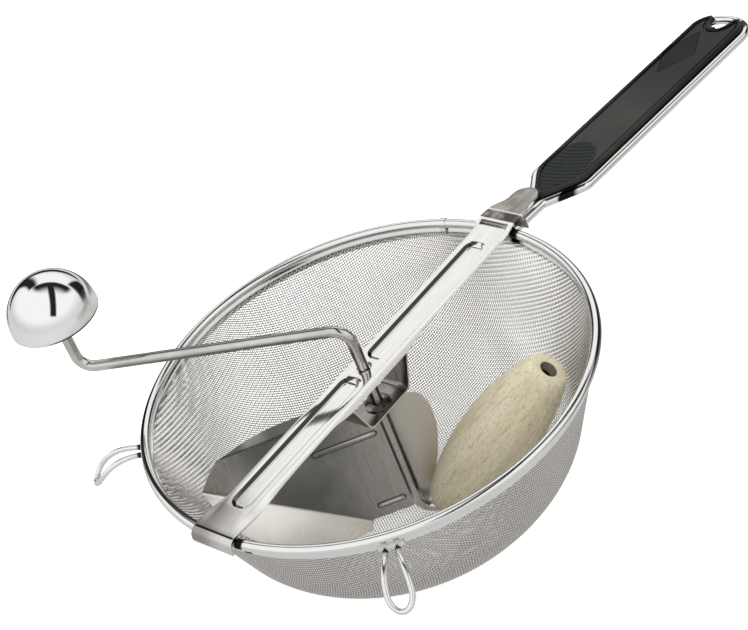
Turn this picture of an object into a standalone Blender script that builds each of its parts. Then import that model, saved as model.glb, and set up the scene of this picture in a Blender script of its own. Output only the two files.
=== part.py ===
"""Rotary sieve food mill: wire mesh bowl on a rolled rim, clip-in crossbar, bent crank rod
with a sheet blade, a barrel roller and a domed knob.

Frame: Z is the crank and bowl axis and +X points along the crossbar to the handle. The
pieces are drawn with the rim bead's centre line in z = 0, and at the end all of them are
lifted so that the bowl's flat bottom lies there. Sizes are in metres.
"""

import math

import bmesh
import bpy
from mathutils import Matrix, Vector

MM = 0.001

# Running and assembly clearance between neighbouring pieces
GAP = 0.3 * MM

# Rim: a folded sheet binding rolled round a core wire
RIM_RADIUS = 100.0 * MM
BEAD_DIA = 4.5 * MM
BINDING_SHEET = 0.5 * MM
BINDING_SKIRT = 4.6 * MM

# Wire cloth bowl
CLOTH_THICK = 0.8 * MM
WALL_DEPTH = 45.0 * MM
WALL_DRAFT = 20.7
BOWL_DEPTH = 87.0 * MM
BOWL_FLAT = 16.0 * MM
WALL_PULL_SHARE = 0.43
FLOOR_PULL_SHARE = 0.42

# The cloth's meshes, coarsened to a plain grid between a band at the rim and the flat
MESH_BAND = 3.5 * MM
MESH_RIBS = 20
MESH_RINGS = 6

# Crossbar: one strip of sheet, its edges folded down and two grooves pressed in
BAR_SHEET = 1.0 * MM
BAR_HALF = 8.5 * MM
BAR_EDGE_BEND = 1.3 * MM
BAR_FLANGE = 5.0 * MM
BAR_FLANGE_FAR = 2.4 * MM
FLANGE_TAPER = 56.0 * MM
FOLD_SET = 7.0 * MM
FOLD_RUNOUT = 18.0 * MM
FAR_FOLD_SET = 0.5 * MM
FAR_FOLD_RUNOUT = 12.0 * MM
GROOVE_OUTER = 13.5 * MM
GROOVE_PAD = 6.0 * MM
GROOVE_LIP = 4.7 * MM
GROOVE_FLOOR = 2.8 * MM
GROOVE_DEPTH = 1.6 * MM
GROOVE_TIP_SHARE = 0.25
HOOK_CLEAR = 1.35 * MM
HOOK_WRAP_ANGLE = 115.0
TAB_CREASE = 8.4 * MM
TAB_LENGTH = 20.5 * MM
TAB_DROP = 2.2 * MM
TAB_TIP_HALF = 6.2 * MM
TAB_ROUND_SHARE = 0.7
LATCH_LEG = 5.2 * MM
LATCH_SET = 0.6 * MM
LATCH_FOOT = 5.0 * MM
LATCH_HALF = 11.5 * MM
LATCH_SHEET = 0.8 * MM

# Hat-shaped lower bearing under the crossbar
BEARING_SHEET = 1.0 * MM
BEARING_DEPTH = 17.5 * MM
BEARING_PLATE = 26.6 * MM
BEARING_SPREAD = 20.0 * MM
BEARING_FOOT = 37.0 * MM
BEARING_BEND = 3.0 * MM

# Crank rod
ROD_DIA = 5.0 * MM
ARM_HEIGHT = 25.6 * MM
ARM_REACH = 123.0 * MM
ARM_AZIMUTH = 119.7
ARM_BEND = 8.0 * MM
STEM_BEND = 7.0 * MM
FOOT_BEND = 7.0 * MM
FOOT_CLEAR = 1.0 * MM
ROD_SIDES_RES = 4

# Washers and push nuts on the rod
NUT_RADIUS = 6.0 * MM
NUT_SHEET = 0.6 * MM
NUT_DISH = 0.8 * MM
WASHER_THICK = 0.9 * MM
WASHER_RADIUS = 5.6 * MM

# Barrel roller
ROLLER_LENGTH = 94.0 * MM
ROLLER_RADIUS = 16.6 * MM
ROLLER_END = 9.0 * MM
ROLLER_ROUND = 1.6 * MM
ROLLER_START = 1.5 * MM
ROLLER_SEAT = 0.5 * MM
COUNTERBORE_DEPTH = 6.0 * MM
AXLE_NUT_RIM = 0.8 * MM
AXLE_SHY = 3.6 * MM

# Blade
BLADE_SHEET = 0.8 * MM
BLADE_AZIMUTH = 140.0
BLADE_FOLD_CLEAR = 2.3 * MM
BLADE_FOLD_DEPTH = 31.0 * MM
BLADE_TOE = 22.0 * MM
BLADE_TOE_LIFT = 4.2 * MM
BLADE_CREASE_CLEAR = 17.7 * MM
BLADE_CREASE_DEPTH = 18.5 * MM
BLADE_CREASE_IN = 27.0 * MM
BLADE_SHOULDER = 17.0 * MM
BLADE_TOP_CLEAR = 0.7 * MM
BLADE_WING = 20.5 * MM
BLADE_WING_DEPTH = 35.0 * MM
BLADE_HEEL = 5.0 * MM
BLADE_HEEL_LIFT = 3.9 * MM
FLANGE_WIDTH = 5.6 * MM
FLANGE_TILT = 45.0
LIP_TILT = 50.0
LIP_CLEAR = 1.0 * MM
RIB_DIA = 3.0 * MM
RIB_PROUD_SHARE = 0.62
TOP_RIB_IN = 5.6 * MM
TOP_RIB_OUT = 36.0 * MM
TOP_RIB_DEPTH = 34.5 * MM
LOW_RIB_IN = 4.6 * MM
LOW_RIB_OUT = 18.0 * MM
LOW_RIB_LIFT = 10.9 * MM

# Knob
KNOB_BASE = 55.5 * MM
KNOB_RADIUS = 20.0 * MM
KNOB_HEIGHT = 21.2 * MM
KNOB_SHEET = 0.8 * MM
KNOB_LAND = 1.4 * MM
BUSH_RADIUS = 5.0 * MM
BUSH_FLANGE = 7.6 * MM
BUSH_HEIGHT = 11.0 * MM
STEM_NUT_RADIUS = 5.4 * MM

# Pot hooks
HOOK_WIRE_DIA = 2.5 * MM
HOOK_LEFT_AZIMUTH = 134.0
HOOK_FRONT_AZIMUTH = 223.5
HOOK_REACH = 26.5 * MM
HOOK_DROP = 8.5 * MM
HOOK_RISE = 2.0 * MM
HOOK_ROOT_HALF = 2.5 * MM
HOOK_EYE_HALF = 4.9 * MM
HOOK_DEPTH = 4.7 * MM
CLIP_HALF = 5.2 * MM
CLIP_HEIGHT = 3.6 * MM
CLIP_SHEET = 0.8 * MM

# Handle: U-bent wire under a moulded grip, drooping a little from the rim
HANDLE_WIRE_DIA = 4.5 * MM
HANDLE_DROOP = 5.0
HANDLE_START = 1.6 * MM
HANDLE_DEPTH = 5.2 * MM
HANDLE_NECK_HALF = 2.6 * MM
HANDLE_NECK = 28.5 * MM
HANDLE_FLARE = 19.5 * MM
HANDLE_HALF = 14.8 * MM
HANDLE_STRAIGHT = 137.5 * MM
SADDLE_HALF = 11.0 * MM
SADDLE_HEIGHT = 3.8 * MM
SADDLE_SHEET = 0.8 * MM
GRIP_LIP_COVER = 1.2 * MM
GRIP_RECESS_RIM = 2.0 * MM
GRIP_RECESS_DEPTH = 0.6 * MM
GRIP_TOP = 4.6 * MM
GRIP_BOTTOM = 4.0 * MM
GRIP_NOSE = 2.0 * MM
GRIP_PRONG = 36.0
GRIP_NOTCH_HALF = 5.2 * MM
GRIP_NOTCH_MOUTH = 9.0 * MM
GRIP_NOTCH_SET = 1.4 * MM

# One overrun for every through cut
CUT_OVER = 4.0 * MM

# Facets
BOWL_STEPS = 3 * MESH_RIBS
RIM_STEPS = BOWL_STEPS
SMALL_STEPS = 24
ROLLER_STEPS = 32
KNOB_STEPS = 40
BEND_STEPS = 7

BEAD_RADIUS = BEAD_DIA / 2
BAR_RISE = BEAD_RADIUS + GAP
ROD_RADIUS = ROD_DIA / 2
BORE_RADIUS = ROD_RADIUS + GAP
HOOK_BORE = BEAD_RADIUS + HOOK_CLEAR
FOLD_START = RIM_RADIUS - FOLD_SET
FAR_FOLD_START = RIM_RADIUS - FAR_FOLD_SET
AXLE_NUT_RADIUS = BORE_RADIUS + AXLE_NUT_RIM
COUNTERBORE_RADIUS = AXLE_NUT_RADIUS + GAP
BEARING_UNDER = BEARING_DEPTH + BEARING_SHEET + GAP + WASHER_THICK
FLOOR_DEPTH = BOWL_DEPTH - CLOTH_THICK

STEEL = ("satin_steel", (0.62, 0.61, 0.59, 1.0), 1.0, 0.32)
BRIGHT = ("bright_steel", (0.78, 0.78, 0.78, 1.0), 1.0, 0.14)
CLOTH = ("wire_cloth", (0.66, 0.64, 0.62, 1.0), 1.0, 0.42)
WOOD = ("pale_wood", (0.72, 0.62, 0.42, 1.0), 0.0, 0.62)
BLACK = ("black_grip", (0.018, 0.018, 0.018, 1.0), 0.0, 0.42)
NYLON = ("nylon", (0.75, 0.73, 0.68, 1.0), 0.0, 0.5)


def clear_scene():
    for obj in list(bpy.data.objects):
        bpy.data.objects.remove(obj, do_unlink=True)


def collection(name):
    made = bpy.data.collections.new(name)
    bpy.context.scene.collection.children.link(made)
    return made


def material(spec):
    name, colour, metallic, roughness = spec
    found = bpy.data.materials.get(name)
    if found:
        return found
    made = bpy.data.materials.new(name)
    made.use_nodes = True
    shader = made.node_tree.nodes["Principled BSDF"]
    shader.inputs["Base Color"].default_value = colour
    shader.inputs["Metallic"].default_value = metallic
    shader.inputs["Roughness"].default_value = roughness
    made.diffuse_color = colour
    return made


def own_material(name, spec):
    made = material(spec).copy()
    made.name = name + "_material"
    return made


clear_scene()
PARTS = collection("food_mill")
CUTTERS = collection("food_mill_cutters")


def empty(name, matrix, parent=None):
    made = bpy.data.objects.new(name, None)
    PARTS.objects.link(made)
    made.parent = parent
    made.matrix_world = matrix
    bpy.context.view_layer.update()
    return made


def finish(obj, spec, parent=None, frame=None):
    """Names the material, hangs the object on its parent and sets its place."""
    obj.data.materials.clear()
    obj.data.materials.append(own_material(obj.name, spec))
    if parent:
        obj.parent = parent
    if frame is not None:
        obj.matrix_world = frame
    elif parent:
        obj.matrix_world = Matrix.Identity(4)
    bpy.context.view_layer.update()
    return obj


def mesh_object(name, bm, group=PARTS):
    mesh = bpy.data.meshes.new(name)
    bm.to_mesh(mesh)
    bm.free()
    made = bpy.data.objects.new(name, mesh)
    group.objects.link(made)
    return made


def turned(name, profile, steps, closed, group=PARTS):
    """A profile of (radius, height) points in the XZ plane with a Screw modifier."""
    bm = bmesh.new()
    verts = [bm.verts.new((radius, 0, height)) for radius, height in profile]
    pairs = list(zip(verts, verts[1:]))
    if closed:
        pairs.append((verts[-1], verts[0]))
    for pair in pairs:
        bm.edges.new(pair)
    made = mesh_object(name, bm, group)
    screw = made.modifiers.new("Turn", "SCREW")
    screw.angle = math.tau
    screw.steps = steps
    screw.render_steps = steps
    screw.use_merge_vertices = True
    screw.merge_threshold = 1e-5
    screw.use_smooth_shade = True
    return made


def wire(name, points, diameter, resolution, cyclic=False):
    """A bent wire: a POLY curve with a round bevel and filled caps."""
    data = bpy.data.curves.new(name, "CURVE")
    data.dimensions = "3D"
    data.bevel_depth = diameter / 2
    data.bevel_resolution = resolution
    data.use_fill_caps = True
    spline = data.splines.new("POLY")
    spline.points.add(len(points) - 1)
    for slot, point in zip(spline.points, points):
        slot.co = (point[0], point[1], point[2], 1)
    spline.use_cyclic_u = cyclic
    spline.use_smooth = True
    made = bpy.data.objects.new(name, data)
    PARTS.objects.link(made)
    return made


def solidify(obj, thickness, offset=0):
    made = obj.modifiers.new("Sheet", "SOLIDIFY")
    made.thickness = thickness
    made.offset = offset
    made.use_even_offset = True
    return made


def boolean(obj, cutter, operation="DIFFERENCE"):
    made = obj.modifiers.new(cutter.name, "BOOLEAN")
    made.operation = operation
    made.solver = "EXACT"
    made.object = cutter
    return made


def drill(name, radius, length, centre, steps=SMALL_STEPS):
    """A round cutter standing on Z."""
    bm = bmesh.new()
    bmesh.ops.create_cone(bm, cap_ends=True, segments=steps, radius1=radius, radius2=radius,
                          depth=length)
    made = mesh_object(name, bm, CUTTERS)
    made.matrix_world = Matrix.Translation(centre)
    made.hide_render = True
    made.display_type = "WIRE"
    return made


def filleted(corners, radii, steps=BEND_STEPS):
    """Points along a path through corners, each inner corner rounded to its bend radius."""
    corners = [Vector(corner) for corner in corners]
    points = [corners[0]]
    for before, corner, after, radius in zip(corners, corners[1:], corners[2:], radii):
        back = (before - corner).normalized()
        ahead = (after - corner).normalized()
        half = back.angle(ahead) / 2
        run = radius / math.tan(half)
        centre = corner + (back + ahead).normalized() * (radius / math.sin(half))
        start = corner + back * run - centre
        end = corner + ahead * run - centre
        sweep = start.angle(end)
        for step in range(steps + 1):
            share = step / steps
            point = (start * math.sin((1 - share) * sweep) + end * math.sin(share * sweep))
            points.append(centre + point / math.sin(sweep))
    points.append(corners[-1])
    return points


def bezier(ends, pulls, steps):
    """Points of a cubic between two ends, leaving out the first."""
    start, end = ends
    out = []
    for step in range(1, steps + 1):
        t = step / steps
        weights = ((1 - t) ** 3, 3 * t * (1 - t) ** 2, 3 * t * t * (1 - t), t ** 3)
        points = (start, pulls[0], pulls[1], end)
        out.append(sum((weight * point for weight, point in zip(weights, points)),
                       Vector((0, 0))))
    return out


def offset_line(points, distance):
    """The polyline moved sideways, to the right of its run, with mitred corners."""
    out = []
    for index, point in enumerate(points):
        normals = []
        if index > 0:
            run = (point - points[index - 1]).normalized()
            normals.append(Vector((run.y, -run.x)))
        if index < len(points) - 1:
            run = (points[index + 1] - point).normalized()
            normals.append(Vector((run.y, -run.x)))
        normal = sum(normals, Vector((0, 0))).normalized()
        out.append(point + normal * (distance / normal.dot(normals[0])))
    return out


# The bowl's section: a drafted wall, then a free curve to a small flat at the bottom

DRAFT = math.radians(WALL_DRAFT)
WALL_RUN = Vector((-math.sin(DRAFT), -math.cos(DRAFT)))


def bowl_line(steps=12):
    """The cloth's middle line from its top edge to the flat, as (radius, height)."""
    top = Vector((RIM_RADIUS, 0)) + WALL_RUN * (BEAD_RADIUS + GAP)
    wall_end = top + WALL_RUN * ((WALL_DEPTH + top.y) / math.cos(DRAFT))
    flat = Vector((BOWL_FLAT, CLOTH_THICK / 2 - BOWL_DEPTH))
    reach = BOWL_DEPTH - WALL_DEPTH
    pulls = (wall_end + WALL_RUN * (WALL_PULL_SHARE * reach),
             flat + Vector((FLOOR_PULL_SHARE * (wall_end.x - flat.x), 0)))
    line = [top, top.lerp(wall_end, 0.5), wall_end]
    return line + bezier((wall_end, flat), pulls, steps)


def bowl_side(distance, steps=12):
    """The section line moved out from the cloth's middle; negative is inside."""
    return offset_line(bowl_line(steps), -distance)


def wall_gap(point, line):
    """Least distance from a (radius, height) point to the section line."""
    least = None
    for start, end in zip(line, line[1:]):
        run = end - start
        share = max(0.0, min(1.0, (point - start).dot(run) / run.length_squared))
        distance = (point - start - run * share).length
        least = distance if least is None else min(least, distance)
    return least


def line_radius(height, line):
    """Radius of the section line at a height, or none above and below it."""
    for start, end in zip(line, line[1:]):
        if end.y <= height <= start.y:
            share = (start.y - height) / (start.y - end.y)
            return start.x + (end.x - start.x) * share
    return None


def inside_bowl(point, line):
    """True where a (radius, height) point lies on the hollow side of the line."""
    radius = line_radius(point.y, line)
    return point.y > line[0].y if radius is None else point.x < radius


INNER_LINE = bowl_side(-CLOTH_THICK / 2, 24) + [Vector((0, -FLOOR_DEPTH))]


def spaced(line, places):
    """Points of a polyline at the given distances from its start."""
    out = []
    for place in places:
        left = place
        for start, end in zip(line, line[1:]):
            run = (end - start).length
            if left <= run:
                break
            left -= run
        out.append(start.lerp(end, min(left / run, 1)))
    return out


def mesh_rows():
    """The cloth's middle line in rows: three to a ring of meshes, the third one its hoop."""
    line = bowl_line(48)
    length = sum((end - start).length for start, end in zip(line, line[1:]))
    first = BINDING_SKIRT - GAP + MESH_BAND
    count = 3 * MESH_RINGS - 1
    step = (length - MESH_BAND - first) / count
    rows = spaced(line, [first + step * row for row in range(count + 1)])
    return [line[0]] + rows + [line[-1]]


def build_cloth():
    """The bowl's sheet, left open where two of every three columns and rows cross."""
    rows = mesh_rows()
    bm = bmesh.new()
    rings = []
    for radius, height in rows:
        ring = []
        for column in range(BOWL_STEPS):
            angle = math.tau * column / BOWL_STEPS
            ring.append(bm.verts.new((radius * math.cos(angle), radius * math.sin(angle),
                                      height)))
        rings.append(ring)
    for row, (above, below) in enumerate(zip(rings, rings[1:])):
        meshed = 0 < row < len(rows) - 2 and row % 3 != 0
        for column in range(BOWL_STEPS):
            after = (column + 1) % BOWL_STEPS
            if not (meshed and column % 3 != 0):
                bm.faces.new((above[column], below[column], below[after], above[after]))
    pole = bm.verts.new((0, 0, rows[-1].y))
    for column in range(BOWL_STEPS):
        bm.faces.new((rings[-1][column], pole, rings[-1][(column + 1) % BOWL_STEPS]))
    bmesh.ops.delete(bm, geom=[vert for vert in bm.verts if not vert.link_faces],
                     context="VERTS")
    bmesh.ops.recalc_face_normals(bm, faces=bm.faces)
    cloth = mesh_object("sieve_cloth", bm)
    solidify(cloth, CLOTH_THICK)
    finish(cloth, CLOTH)


def build_sieve():
    build_cloth()

    # The binding: down the inside of the cloth, round the core wire and down the outside
    side = CLOTH_THICK / 2 + GAP + BINDING_SHEET / 2
    ring = BEAD_RADIUS - BINDING_SHEET / 2
    centre = Vector((RIM_RADIUS, 0))
    spread = math.asin(side / ring)
    down = math.atan2(WALL_RUN.y, WALL_RUN.x)
    arc = []
    count = 10
    for step in range(count + 1):
        angle = down + spread + (math.tau - 2 * spread) * step / count
        arc.append(centre + ring * Vector((math.cos(angle), math.sin(angle))))
    foot = WALL_RUN * BINDING_SKIRT
    path = [arc[0] + foot] + arc + [arc[-1] + foot]
    right = offset_line(path, BINDING_SHEET / 2)
    left = offset_line(path, -BINDING_SHEET / 2)
    binding = turned("rim_binding", [tuple(point) for point in left + right[::-1]],
                     RIM_STEPS, closed=True)
    finish(binding, BRIGHT)

    core = BEAD_RADIUS - BINDING_SHEET - GAP
    sides = 8
    loop = []
    for step in range(sides):
        angle = math.pi / 2 - math.tau * step / sides
        loop.append((RIM_RADIUS + core * math.cos(angle), core * math.sin(angle)))
    core_wire = turned("rim_core_wire", loop, RIM_STEPS, closed=True)
    finish(core_wire, STEEL)


# The outer skirt's face, which carries the hooks and the handle

SKIRT_OUT = CLOTH_THICK / 2 + GAP + BINDING_SHEET


def skirt_radius(depth):
    """Radius of the binding's outer face at a depth under the bead's centre line."""
    along = depth / math.cos(DRAFT)
    return RIM_RADIUS - along * math.sin(DRAFT) + SKIRT_OUT / math.cos(DRAFT)


def curved_plate(name, half, height, sheet, depth, azimuth, columns=6):
    """A small plate bent to the skirt, standing off it by the assembly gap."""
    bm = bmesh.new()
    rows = []
    for level in (0, height):
        radius = skirt_radius(depth + level) + GAP + sheet / 2
        row = []
        for column in range(columns + 1):
            angle = math.radians(azimuth) + (2 * column / columns - 1) * half / radius
            row.append(bm.verts.new((radius * math.cos(angle), radius * math.sin(angle),
                                     -depth - level)))
        rows.append(row)
    for column in range(columns):
        bm.faces.new((rows[0][column], rows[1][column],
                      rows[1][column + 1], rows[0][column + 1]))
    made = mesh_object(name, bm)
    solidify(made, sheet)
    return made


def build_pot_hooks():
    for azimuth, name in ((HOOK_LEFT_AZIMUTH, "left"), (HOOK_FRONT_AZIMUTH, "front")):
        depth = HOOK_DEPTH - CLIP_HEIGHT / 2
        clip = curved_plate("hook_clip_" + name, CLIP_HALF, CLIP_HEIGHT, CLIP_SHEET, depth, azimuth)
        finish(clip, BRIGHT)
        root = skirt_radius(HOOK_DEPTH - HOOK_WIRE_DIA / 2) + GAP + CLIP_SHEET + GAP
        eye = HOOK_EYE_HALF
        run = HOOK_REACH - eye
        leg = []
        steps = 9
        for step in range(steps + 1):
            share = step / steps
            swell = share * share * (3 - 2 * share)
            leg.append((root + run * share, HOOK_ROOT_HALF + (eye - HOOK_ROOT_HALF) * swell))
        turn = []
        steps = 6
        for step in range(1, steps):
            angle = math.pi / 2 - math.pi * step / steps
            turn.append((root + run + eye * math.cos(angle), eye * math.sin(angle)))
        plan = leg + turn + [(out, -half) for out, half in leg[::-1]]
        points = []
        for out, across in plan:
            share = (out - root) / HOOK_REACH
            lift = HOOK_RISE * math.sin(math.pi * share) - HOOK_DROP * share ** 3
            points.append((out, across, lift - HOOK_DEPTH))
        hook = wire("pot_hook_" + name, points, HOOK_WIRE_DIA, 2)
        finish(hook, BRIGHT, frame=Matrix.Rotation(math.radians(azimuth), 4, "Z"))


# The handle's own frame: X runs out along the droop, from the skirt's outer face

HANDLE_ROOT = skirt_radius(HANDLE_DEPTH) + GAP + SADDLE_SHEET + GAP
HANDLE_FRAME = (Matrix.Translation((HANDLE_ROOT, 0, -HANDLE_DEPTH))
                @ Matrix.Rotation(math.radians(HANDLE_DROOP), 4, "Y"))
FLARE = math.atan2(HANDLE_HALF - HANDLE_NECK_HALF, HANDLE_FLARE)
STRAIGHT_START = HANDLE_NECK + HANDLE_FLARE
STRAIGHT_END = STRAIGHT_START + HANDLE_STRAIGHT


def grip_outline(inset):
    """Plan of the grip, drawn in from the wire's centre line by an inset."""
    sink = inset - GRIP_LIP_COVER
    rise = math.tan(FLARE)
    nose_x = HANDLE_NECK + GRIP_NOSE + sink
    base_x = HANDLE_NECK + inset * math.sin(FLARE)
    base_y = HANDLE_NECK_HALF - inset * math.cos(FLARE)
    half = HANDLE_HALF - inset
    side = [(nose_x, base_y + (nose_x - base_x) * rise),
            (base_x + (half - base_y) / rise, half),
            ((STRAIGHT_START + STRAIGHT_END) / 2, half)]
    tip = math.radians(GRIP_PRONG) + sink / HANDLE_HALF
    count = 6
    for step in range(count + 1):
        angle = math.pi / 2 + (tip - math.pi / 2) * step / count
        side.append((STRAIGHT_END + half * math.cos(angle), half * math.sin(angle)))
    mouth_x = STRAIGHT_END + GRIP_NOTCH_MOUTH - sink
    mouth_y = GRIP_NOTCH_HALF + sink
    bottom_x = STRAIGHT_END - GRIP_NOTCH_SET - sink
    count = 4
    for step in range(count):
        angle = math.pi / 2 * (1 - step / count)
        side.append((mouth_x - (mouth_x - bottom_x) * math.cos(angle), mouth_y * math.sin(angle)))
    return side + [(bottom_x, 0)] + [(x, -y) for x, y in side[::-1]]


def loft(name, loops):
    """A closed solid through loops of equal count, flat at both ends."""
    bm = bmesh.new()
    rings = [[bm.verts.new(point) for point in loop] for loop in loops]
    for lower, upper in zip(rings, rings[1:]):
        for index in range(len(lower)):
            after = (index + 1) % len(lower)
            bm.faces.new((lower[index], lower[after], upper[after], upper[index]))
    bm.faces.new(rings[0][::-1])
    bm.faces.new(rings[-1])
    bmesh.ops.recalc_face_normals(bm, faces=bm.faces)
    return mesh_object(name, bm)


def build_handle():
    saddle = curved_plate("handle_saddle", SADDLE_HALF, SADDLE_HEIGHT, SADDLE_SHEET,
                          HANDLE_DEPTH - SADDLE_HEIGHT / 2, 0.0, columns=8)
    finish(saddle, BRIGHT)

    start = HANDLE_START
    upper = filleted([(start, HANDLE_NECK_HALF, 0), (HANDLE_NECK, HANDLE_NECK_HALF, 0),
                      (STRAIGHT_START, HANDLE_HALF, 0), (STRAIGHT_END, HANDLE_HALF, 0)],
                     (HANDLE_WIRE_DIA, HANDLE_WIRE_DIA), 3)
    turn = []
    count = 14
    for step in range(1, count):
        angle = math.pi / 2 - math.pi * step / count
        turn.append(Vector((STRAIGHT_END + HANDLE_HALF * math.cos(angle),
                            HANDLE_HALF * math.sin(angle), 0)))
    lower = [Vector((point.x, -point.y, 0)) for point in upper[::-1]]
    loop = wire("handle_wire", upper + turn + lower, HANDLE_WIRE_DIA, 3)
    finish(loop, BRIGHT, frame=HANDLE_FRAME)

    radius = HANDLE_WIRE_DIA / 2
    lip = grip_outline(GRIP_LIP_COVER)
    core = grip_outline(radius + GAP)
    recess = grip_outline(GRIP_LIP_COVER + GRIP_RECESS_RIM)
    clear = radius + GAP
    levels = ((lip, -GRIP_BOTTOM), (lip, -clear), (core, -clear), (core, clear), (lip, clear),
              (lip, GRIP_TOP), (recess, GRIP_TOP), (recess, GRIP_TOP - GRIP_RECESS_DEPTH))
    loops = [[(x, y, height) for x, y in outline] for outline, height in levels]
    grip = loft("handle_grip", loops)
    finish(grip, BLACK, frame=HANDLE_FRAME)


# The crossbar's hinge: the near hook turns round the rim bead

BAR_MID = BAR_RISE + BAR_SHEET / 2
HINGE_Z = BAR_RISE - HOOK_BORE
HINGE_X = -RIM_RADIUS + GAP
GROOVE_END = RIM_RADIUS - GROOVE_OUTER


def bar_stations():
    """Middle line of the strip as (point, upward normal, place along X)."""
    stations = []
    radius = HOOK_BORE + BAR_SHEET / 2
    count = 9
    for step in range(count):
        angle = math.radians(90.0 + HOOK_WRAP_ANGLE * (1 - step / count))
        normal = Vector((math.cos(angle), math.sin(angle)))
        stations.append((Vector((HINGE_X, HINGE_Z)) + radius * normal, normal))
    up = Vector((0, 1))
    middle = [GROOVE_PAD / 2, (GROOVE_PAD + GROOVE_END) / 2]
    middle += [GROOVE_PAD + GROOVE_LIP * share for share in (0.0, 0.12, 0.4, 1.0)]
    ends = [GROOVE_END - GROOVE_LIP * share for share in (0.0, 0.12, 0.4, 1.0)]
    ends += [FAR_FOLD_START - FAR_FOLD_RUNOUT * step / 6 for step in range(6)]
    pitch = GROOVE_LIP / 3
    near = [-GROOVE_END + pitch * step for step in range(-4, 9)]
    places = sorted([HINGE_X, 0] + near + [-x for x in middle] + middle + ends)
    for x in places:
        stations.append((Vector((x, BAR_MID)), up))
    crease = RIM_RADIUS + TAB_CREASE
    for x in (RIM_RADIUS + BEAD_RADIUS, crease):
        stations.append((Vector((x, BAR_MID + GAP)), up))
    count = 7
    for step in range(1, count + 1):
        quarter = math.pi / 2 * step / count
        slope = -TAB_DROP * math.pi / 2 * math.cos(quarter) / TAB_LENGTH
        place = Vector((crease + TAB_LENGTH * step / count,
                        BAR_MID + GAP - TAB_DROP * math.sin(quarter)))
        stations.append((place, Vector((-slope, 1)).normalized()))
    return stations


def bar_section(x, tip_share):
    """Half section of the strip at a place along X, as (across, up) from the middle out."""
    near = (FOLD_START + x) / FOLD_RUNOUT
    far = (FAR_FOLD_START - x) / FAR_FOLD_RUNOUT
    fold = max(0.0, min(1.0, near, far))
    fold = fold * fold * (3 - 2 * fold) * math.pi / 2
    narrow = max(0.0, min(1.0, (x - GROOVE_END + FLANGE_TAPER) / FLANGE_TAPER))
    flange = BAR_FLANGE + (BAR_FLANGE_FAR - BAR_FLANGE) * narrow
    share = max(0.0, min(1.0, min(GROOVE_END - abs(x), abs(x) - GROOVE_PAD) / GROOVE_LIP))
    swell = max(GROOVE_TIP_SHARE, math.sqrt(1 - (1 - share) ** 2))
    depth = GROOVE_DEPTH * min(1.0, share * 3)
    start = BAR_HALF - BAR_EDGE_BEND
    half_turn = BAR_EDGE_BEND * math.pi / 4
    points = [Vector((0, -depth)), Vector((GROOVE_FLOOR * swell, -depth)),
              Vector((GROOVE_LIP * swell, 0)), Vector((start, 0))]
    stock = 2 * half_turn + flange - BAR_EDGE_BEND
    for run in (half_turn, 2 * half_turn, stock):
        turn = min(run / BAR_EDGE_BEND, fold)
        straight = run - BAR_EDGE_BEND * turn
        points.append(Vector((start + BAR_EDGE_BEND * math.sin(turn) + straight * math.cos(turn),
                              -BAR_EDGE_BEND * (1 - math.cos(turn)) - straight * math.sin(turn))))
    if tip_share is not None:
        wide = points[-1].x
        ease = (1 + math.cos(math.pi * min(1.0, tip_share * 2.0))) / 2
        width = TAB_TIP_HALF + (wide - TAB_TIP_HALF) * ease
        if tip_share > TAB_ROUND_SHARE:
            round_off = (tip_share - TAB_ROUND_SHARE) / (1 - TAB_ROUND_SHARE)
            width *= math.sqrt(max(0.08, 1 - round_off ** 2))
        points = [Vector((point.x * width / wide, point.y)) for point in points]
    return points


def build_crossbar(hinge):
    bm = bmesh.new()
    rows = []
    crease = RIM_RADIUS + TAB_CREASE
    for point, normal in bar_stations():
        tip_share = (point.x - crease) / TAB_LENGTH if point.x >= crease else None
        half = bar_section(point.x, tip_share)
        along = Vector((normal.y, -normal.x))
        section = [Vector((-p.x, p.y)) for p in half[:0:-1]] + half
        row = []
        for across, up in section:
            place = point + normal * up
            row.append(bm.verts.new((place.x, across, place.y)))
        rows.append(row)
    for left, right in zip(rows, rows[1:]):
        for index in range(len(left) - 1):
            bm.faces.new((left[index], right[index], right[index + 1], left[index + 1]))
    bar = mesh_object("crossbar", bm)
    solidify(bar, BAR_SHEET).use_even_offset = False
    hole = drill("crossbar_hole", BORE_RADIUS + GAP, BAR_SHEET + CUT_OVER, (0, 0, BAR_MID))
    boolean(bar, hole)
    finish(bar, BRIGHT, hinge)

    # Spring latch under the tab: its leg hangs from the crease, clear of the bead
    foot_z = BAR_RISE - LATCH_SHEET / 2
    leg_x = crease - LATCH_SET
    path = filleted([(leg_x - LATCH_FOOT, 0, foot_z), (leg_x, 0, foot_z),
                     (leg_x, 0, foot_z - LATCH_LEG)], (LATCH_SHEET,), 3)
    latch = strip("rim_latch", path, LATCH_HALF, LATCH_SHEET)
    finish(latch, STEEL, hinge)


def strip(name, path, half, sheet):
    """A bent strip of sheet: its middle line swept across Y."""
    bm = bmesh.new()
    verts = [bm.verts.new((point[0], -half, point[2])) for point in path]
    edges = [bm.edges.new(pair) for pair in zip(verts, verts[1:])]
    swept = bmesh.ops.extrude_edge_only(bm, edges=edges)
    moved = [item for item in swept["geom"] if isinstance(item, bmesh.types.BMVert)]
    bmesh.ops.translate(bm, verts=moved, vec=(0, 2 * half, 0))
    made = mesh_object(name, bm)
    solidify(made, sheet)
    return made


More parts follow.
